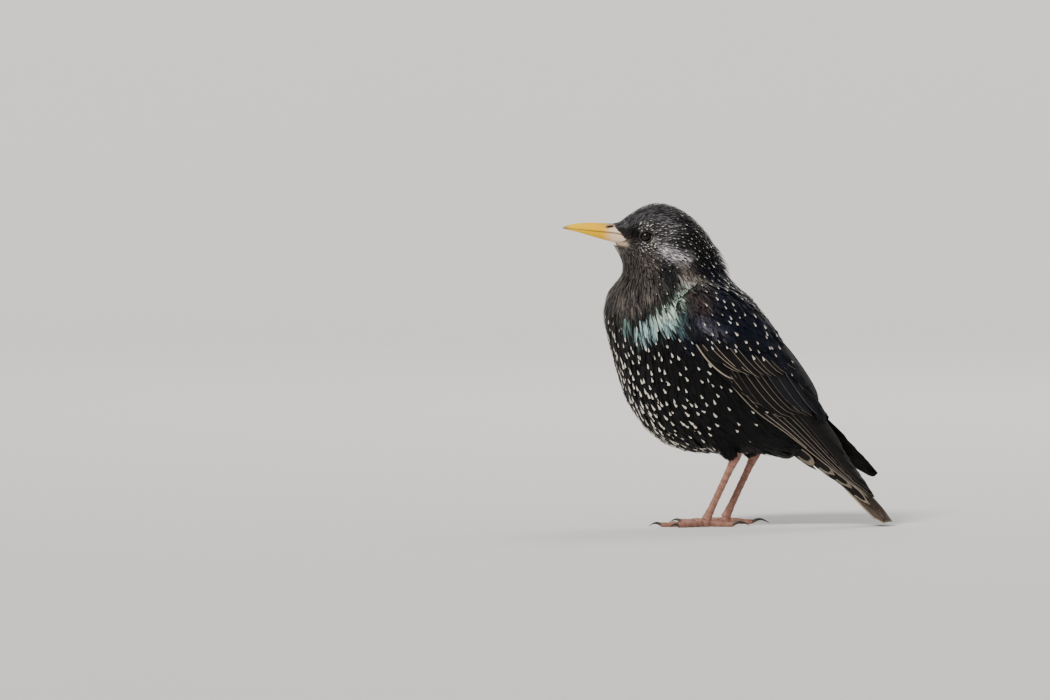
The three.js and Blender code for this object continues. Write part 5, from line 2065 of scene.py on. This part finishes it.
@dataclass
class Eye:
    """One eye in its ring of lids."""

    side: Side
    x: float = -32.5
    y: float = 8.9
    z: float = 129.0
    radius: float = 2.85
    opening: float = 2.68
    lid: float = 0.5
    lid_out: float = 1.95

    def _ring(self, reach: np.ndarray, turn: np.ndarray, out: np.ndarray, tall: float) -> np.ndarray:
        """Points round the eye's axis.

        Args:
            reach: How far from the axis.
            turn: The angle round it.
            out: How far out from the bird's middle plane, past the eye's middle.
            tall: How tall the ring is for its length.

        Returns:
            One row for each point.
        """
        level, up = reach * np.cos(turn), tall * reach * np.sin(turn)
        points = [self.x + level, self.side.sign * (self.y + out), self.z + up]
        return np.stack(points, axis=-1).reshape(-1, 3)

    def ball(self, placing: Placing, finish: bpy.types.Material) -> bpy.types.Object:
        """Make the eyeball, with a bulging cornea."""
        around, rings = 56, 40
        turns = np.linspace(0, 2 * np.pi, around, endpoint=False)
        polar, turn = np.meshgrid(np.linspace(0, np.pi, rings), turns, indexing="ij")
        ring, out = np.sin(polar) * self.radius, np.cos(polar) * self.radius
        out = out + 0.22 * np.exp(-((ring / 1.5) ** 2)) * (out > 0)
        faces = grid_faces(rings, around, wrap=True)
        if self.side is Side.LEFT_SIDE:
            faces = faces[:, ::-1]
        piece = MeshPiece(placing)
        piece.add(self._ring(ring, turn, out, 1.0), faces, ring=np.where(out > 0, ring, 9.0).ravel())
        return piece.build(f"eyeball_{self.side.letter}", finish)

    def lids(self, placing: Placing, finish: bpy.types.Material) -> bpy.types.Object:
        """Make the ring of lids, drawn out a little at its corners and creased across."""
        around, sides, creases = 96, 16, 26
        turn = np.linspace(0, 2 * np.pi, around, endpoint=False)[:, None]
        across = np.linspace(0, 2 * np.pi, sides, endpoint=False)[None]
        corner, wave = np.cos(turn) ** 8, np.sin(turn * creases)
        major = self.opening + 0.28 * corner - 0.1 * np.sin(turn) ** 2
        thick = self.lid * (1 + 0.1 * wave) * (1 - 0.25 * corner)
        out = self.lid_out - 0.15 * corner + 0.8 * thick * np.sin(across)
        faces = grid_faces(around, sides, wrap=True, close=True)
        if self.side is Side.RIGHT_SIDE:
            faces = faces[:, ::-1]
        piece = MeshPiece(placing)
        points = self._ring(major + thick * np.cos(across), turn, out, 0.97)
        # The creases' groove values make the lid finish paint them darker: painted shade.
        piece.add(points, faces, groove=np.repeat(0.5 - 0.5 * wave, sides, 1).ravel())
        return piece.build(f"lids_{self.side.letter}", finish)


@dataclass(frozen=True)
class Toe:
    """One toe: its turn from straight ahead towards the bird's middle, and its sizes."""

    name: str
    turn: float
    length: float
    radius: float
    claw: float
    joints: int


@dataclass
class Leg:
    """One bare leg: a scuted tarsus, four padded toes and their claws."""

    side: Side
    body: BodyForm
    foot: Pair = (-1.8, 2.9)
    deep: float = 1.5
    wide: float = 1.15
    scutes: int = 8
    toe_out: float = 8.0
    toes: tuple[Toe, ...] = (
        Toe("hind", 180.0, 12.0, 1.25, 8.5, 2),
        Toe("inner", 32.0, 14.0, 1.1, 5.2, 2),
        Toe("middle", 0.0, 20.0, 1.2, 6.2, 3),
        Toe("outer", -30.0, 15.0, 1.1, 5.2, 4),
    )
    toe_profile: tuple[Triple, ...] = (
        (0.0, 1.15, 1.7), (0.25, 1.12, 1.5), (0.5, 1.05, 1.2), (0.8, 1.0, 1.0), (1.0, 0.78, 1.02),
    )
    claw_heights: Pair = (1.05, 0.35)
    claw_arch: float = 0.17
    claw_reach: float = 0.9
    claw_base: float = 0.66
    floor: float = 0.02

    def _way(self, toe: Toe) -> np.ndarray:
        """The level way that a toe points."""
        turn = math.radians(toe.turn if toe.name == "hind" else toe.turn - self.toe_out)
        return np.array([-math.cos(turn), -self.side.sign * math.sin(turn), 0.0])

    def _along(self, toe: Toe, reach: np.ndarray, height: np.ndarray) -> np.ndarray:
        """A path out from the foot the way that a toe points.

        Args:
            toe: The toe.
            reach: How far from the foot, in millimetres.
            height: How high above the floor.

        Returns:
            The points.
        """
        path = self.body.leg_point(self.side, self.foot) + self._way(toe) * reach[:, None]
        path[:, 2] = height
        return path

    def _lay(self, piece: MeshPiece, form: Form, groove: np.ndarray) -> None:
        """Add a form to a piece, flat where it would go through the floor.

        Args:
            piece: The piece.
            form: Vertices and faces.
            groove: How deep in a groove each ring of it is, with its ends.
        """
        points, faces = form
        points[:, 2] = np.maximum(points[:, 2], self.floor)
        piece.add(points, faces, groove=np.repeat(groove, len(points) // len(groove)))

    def tarsus(self, piece: MeshPiece) -> None:
        """Add the tarsus, with overlapping scutes down its front."""
        heel, foot = (self.body.leg_point(self.side, place) for place in (self.body.heel, self.foot))
        share = np.linspace(-0.1, 1.0, 96)
        inside = np.clip(share, 0, 1)
        swell = 1 + 0.5 * (2 * inside - 1) ** 4
        saw = (inside * self.scutes) % 1.0
        scale = 0.14 * saw**2
        path = between((heel, foot), share[:, None])
        form = tube(path, self.deep * swell + scale, self.wide * swell + 0.6 * scale, 28)
        # The grooves between scutes are painted darker by the leg finish: painted shade.
        grooves = smoothstep(0.86, 1.0, saw) + smoothstep(0.1, 0.0, saw)
        self._lay(piece, form, np.clip([0, *grooves, 0], 0, 1))

    def foot_pad(self, piece: MeshPiece) -> None:
        """Add the ball of the foot where the toes meet."""
        rings, around = 20, 32
        turns = np.linspace(0, 2 * np.pi, around, endpoint=False)
        polar, turn = np.meshgrid(np.linspace(0, np.pi, rings), turns, indexing="ij")
        centre = self.body.leg_point(self.side, self.foot)
        x = centre[0] + 2.3 * np.sin(polar) * np.cos(turn)
        y = centre[1] + 2.2 * np.sin(polar) * np.sin(turn)
        points = np.stack([x, y, 1.75 + 2.1 * np.cos(polar)], axis=-1).reshape(-1, 3)
        self._lay(piece, (points, grid_faces(rings, around, wrap=True)[:, ::-1]), np.zeros(rings))

    def toe(self, piece: MeshPiece, toe: Toe) -> None:
        """Add one toe: pads below, scutes above, flat on the floor."""
        share = np.linspace(0, 1, 80)
        places, swells, heights = np.array(self.toe_profile).T
        phase = (share * toe.joints) % 1.0
        scute = (share * toe.length / 1.15) % 1.0
        radius = toe.radius * np.interp(share, places, swells) * (1 + 0.1 * np.cos(2 * np.pi * phase))
        path = self._along(toe, share * toe.length, np.interp(share, places, heights))
        form = tube(path, radius + 0.06 * scute, radius * 0.92, 24)
        self._lay(piece, form, np.array([0, *smoothstep(0.8, 1.0, scute), 0]))

    def claw(self, piece: MeshPiece, toe: Toe) -> None:
        """Add one curved claw."""
        share = np.linspace(-0.1, 1, 40)
        inside = np.clip(share, 0, 1)
        rise = between(self.claw_heights, share) + self.claw_arch * toe.claw * np.sin(np.pi * inside)
        radius = toe.radius * self.claw_base * (1 - 0.9 * inside**1.15)
        path = self._along(toe, toe.length + toe.claw * self.claw_reach * share, rise)
        self._lay(piece, tube(path, radius, radius * 0.7, 20), np.array([0, *inside, 1]))

    def build(
        self, placing: Placing, skin: bpy.types.Material, horn: bpy.types.Material
    ) -> tuple[bpy.types.Object, bpy.types.Object]:
        """Make the leg and its claws.

        Args:
            placing: Where the bird lies.
            skin: The leg's finish.
            horn: The claws' finish.

        Returns:
            The leg and the claws.
        """
        leg, claws = MeshPiece(placing), MeshPiece(placing)
        self.tarsus(leg)
        self.foot_pad(leg)
        for toe in self.toes:
            self.toe(leg, toe)
            self.claw(claws, toe)
        letter = self.side.letter
        return leg.build(f"leg_{letter}", skin), claws.build(f"claws_{letter}", horn)


@dataclass
class Studio:
    """The camera, the lights and the floor."""

    aim: Triple = (-87.05, 0.0, 78.1)
    azimuth: float = 3.0
    elevation: float = 2.0
    distance: float = 3906.0
    lens: float = 300.0
    sensor: float = 36.0
    floor_half: float = 9.0
    sweep_start: float = 2.4
    sweep_radius: float = 1.6
    sweep_top: float = 6.0
    sun_way: Triple = (-0.85, -1.0, 1.25)
    sun_strength: float = 3.0
    sun_spread: float = 14.0
    sun_colour: Triple = (1.0, 0.96, 0.91)
    rim: Triple = (0.5, 1.5, 1.5)
    rim_aim: Triple = (0.0, 0.0, 0.08)
    rim_colour: Triple = (1.0, 0.98, 0.95)
    world: Triple = (0.80, 0.81, 0.83)
    world_strength: float = 0.5

    def camera(self, placing: Placing) -> None:
        """Set the camera to look at the bird's left side from where the photograph was taken."""
        data = bpy.data.cameras.new("camera")
        data.lens = self.lens
        data.sensor_width = self.sensor
        data.clip_end = 100.0
        turn, lift = math.radians(self.azimuth), math.radians(self.elevation)
        away = Vector((math.sin(turn) * math.cos(lift), -math.cos(turn) * math.cos(lift), math.sin(lift)))
        target = Vector(placing.to_frame(np.array(self.aim)).tolist())
        camera = link("camera", data)
        camera.location = target + away * self.distance * MM
        camera.rotation_euler = (-away).to_track_quat("-Z", "Y").to_euler()
        bpy.context.scene.camera = camera

    @staticmethod
    def light(name: str, kind: str, place: Triple, aim: Triple, **settings: object) -> None:
        """Add a light.

        Args:
            name: Its name.
            kind: Its kind.
            place: Where it hangs, in metres.
            aim: The place that it faces.
            **settings: Its settings.
        """
        data = bpy.data.lights.new(name, kind)
        for key, value in settings.items():
            setattr(data, key, value)
        lamp = link(name, data)
        lamp.location = place
        lamp.rotation_euler = (Vector(aim) - Vector(place)).to_track_quat("-Z", "Y").to_euler()

    def lights(self) -> None:
        """Hang a broad sun, a small square rim light behind the bird, and an even sky."""
        spread = math.radians(self.sun_spread)
        sun = {"energy": self.sun_strength, "angle": spread, "color": self.sun_colour}
        square = {"shape": "SQUARE", "size": 0.8, "energy": 10.0, "color": self.rim_colour}
        self.light("key", "SUN", self.sun_way, ORIGIN, **sun)
        self.light("rim", "AREA", self.rim, self.rim_aim, **square)
        world = bpy.data.worlds.new("studio")
        world.use_nodes = True
        background = world.node_tree.nodes["Background"]
        background.inputs["Color"].default_value = (*self.world, 1.0)
        background.inputs["Strength"].default_value = self.world_strength
        bpy.context.scene.world = world

    def build(self, placing: Placing, finish: bpy.types.Material) -> None:
        """Make the lights, the camera and the floor, which sweeps up behind the bird.

        Args:
            placing: Where the bird lies.
            finish: The floor's finish.
        """
        self.camera(placing)
        self.lights()
        turns = np.linspace(0, np.pi / 2, 24)
        far = [-self.floor_half, 0.0, *(self.sweep_start + self.sweep_radius * np.sin(turns))]
        high = [0.0, 0.0, *(self.sweep_radius * (1 - np.cos(turns)))]
        far, high = [*far, far[-1]], [*high, self.sweep_top]
        wide = np.linspace(-self.floor_half, self.floor_half, 9)
        mesh = bpy.data.meshes.new("studio_floor")
        points = [(x, y, z) for y, z in zip(far, high) for x in wide]
        mesh.from_pydata(points, [], grid_faces(len(far), len(wide)).tolist())
        mesh.shade_smooth()
        mesh.materials.append(finish)
        link("studio_floor", mesh)


def settle(piece: bpy.types.Object, slot: str, *nodes: str) -> None:
    """Tie a piece to the bird and hide the nodes that it stands for.

    Args:
        piece: The piece.
        slot: The record's material slot for the piece; not used.
        *nodes: The nodes that it replaces.
    """
    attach(piece, "root")
    if nodes:
        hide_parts(*nodes)
    LOG.info("%s: %d vertices", piece.name, len(piece.data.vertices))


def main() -> None:
    """Build and dress the starling."""
    logging.basicConfig(level=logging.INFO, format="%(name)s: %(message)s")
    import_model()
    draw = np.random.default_rng(SEED)
    effects = EffectGroups()
    bill, body = Bill(), BodyForm()
    placing = Placing.from_frame(bill.x[-1])
    LOG.info("profile placed at %s mm", np.round(placing.offset, 2))

    Studio().build(placing, FloorFinish().build(effects))

    wings = [Wing(side, WingForm(side), tip) for side, tip in zip(Side, (TipShape.LONG, TipShape.BLUNT))]
    flesh = Flesh(body, wings, placing)
    marks = Marks()
    down = SkinFinish().build(effects)
    skin = flesh.skin(1.2, down, marks)
    settle(skin, "body_plumage", "head", "neck", "torso", "rump", "thigh_l", "thigh_r")

    coat_finish = CoatFinish().build(effects)
    for piece in Coat(body, flesh.outer(bill), wings, marks).build(placing, coat_finish, draw):
        settle(piece, "body_plumage")

    flight_finish = FlightFinish().build(effects)
    for wing in wings:
        long = wing.feathers("wing_feathers", WING_TIERS, placing, flight_finish, draw)
        settle(long, "flight_feathers", f"wing_{wing.side.letter}")
        settle(wing.feathers("wing_coverts", COVERT_TIERS, placing, coat_finish, draw), "body_plumage")
        settle(wing.under_wing(placing, down), "body_plumage")
    tail = Tail()
    settle(tail.feathers(placing, flight_finish, draw), "flight_feathers", "tail")
    settle(tail.coverts(placing, flight_finish, draw), "flight_feathers")

    upper, lower = bill.build(placing, BillFinish().build(effects))
    settle(upper, "bill_horn", "bill_upper")
    settle(lower, "bill_horn", "bill_lower")

    wet = EyeFinish().build(effects)
    lid_finish = BareSkinFinish("lid_skin", (0.004, 0.0035, 0.0035), (0.015, 0.013, 0.0125), 900.0, 0.55)
    leg_finish = BareSkinFinish("leg_skin", (0.20, 0.085, 0.055), (0.42, 0.20, 0.14), 500.0, 0.5)
    lid_skin, leg_skin, horn = (finish.build(effects) for finish in (lid_finish, leg_finish, ClawFinish()))
    for side in Side:
        letter = side.letter
        eye = Eye(side)
        settle(eye.ball(placing, wet), "eye", f"eye_{letter}")
        settle(eye.lids(placing, lid_skin), "leg_skin")
        leg, claws = Leg(side, body).build(placing, leg_skin, horn)
        toes = ("hind", "inner", "middle", "outer")
        named_toes, named_claws = ([f"{part}_{toe}_{letter}" for toe in toes] for part in ("toe", "claw"))
        settle(leg, "leg_skin", f"tarsus_{letter}", f"foot_{letter}", *named_toes)
        settle(claws, "claw_horn", *named_claws)


if __name__ == "__main__":
    main()
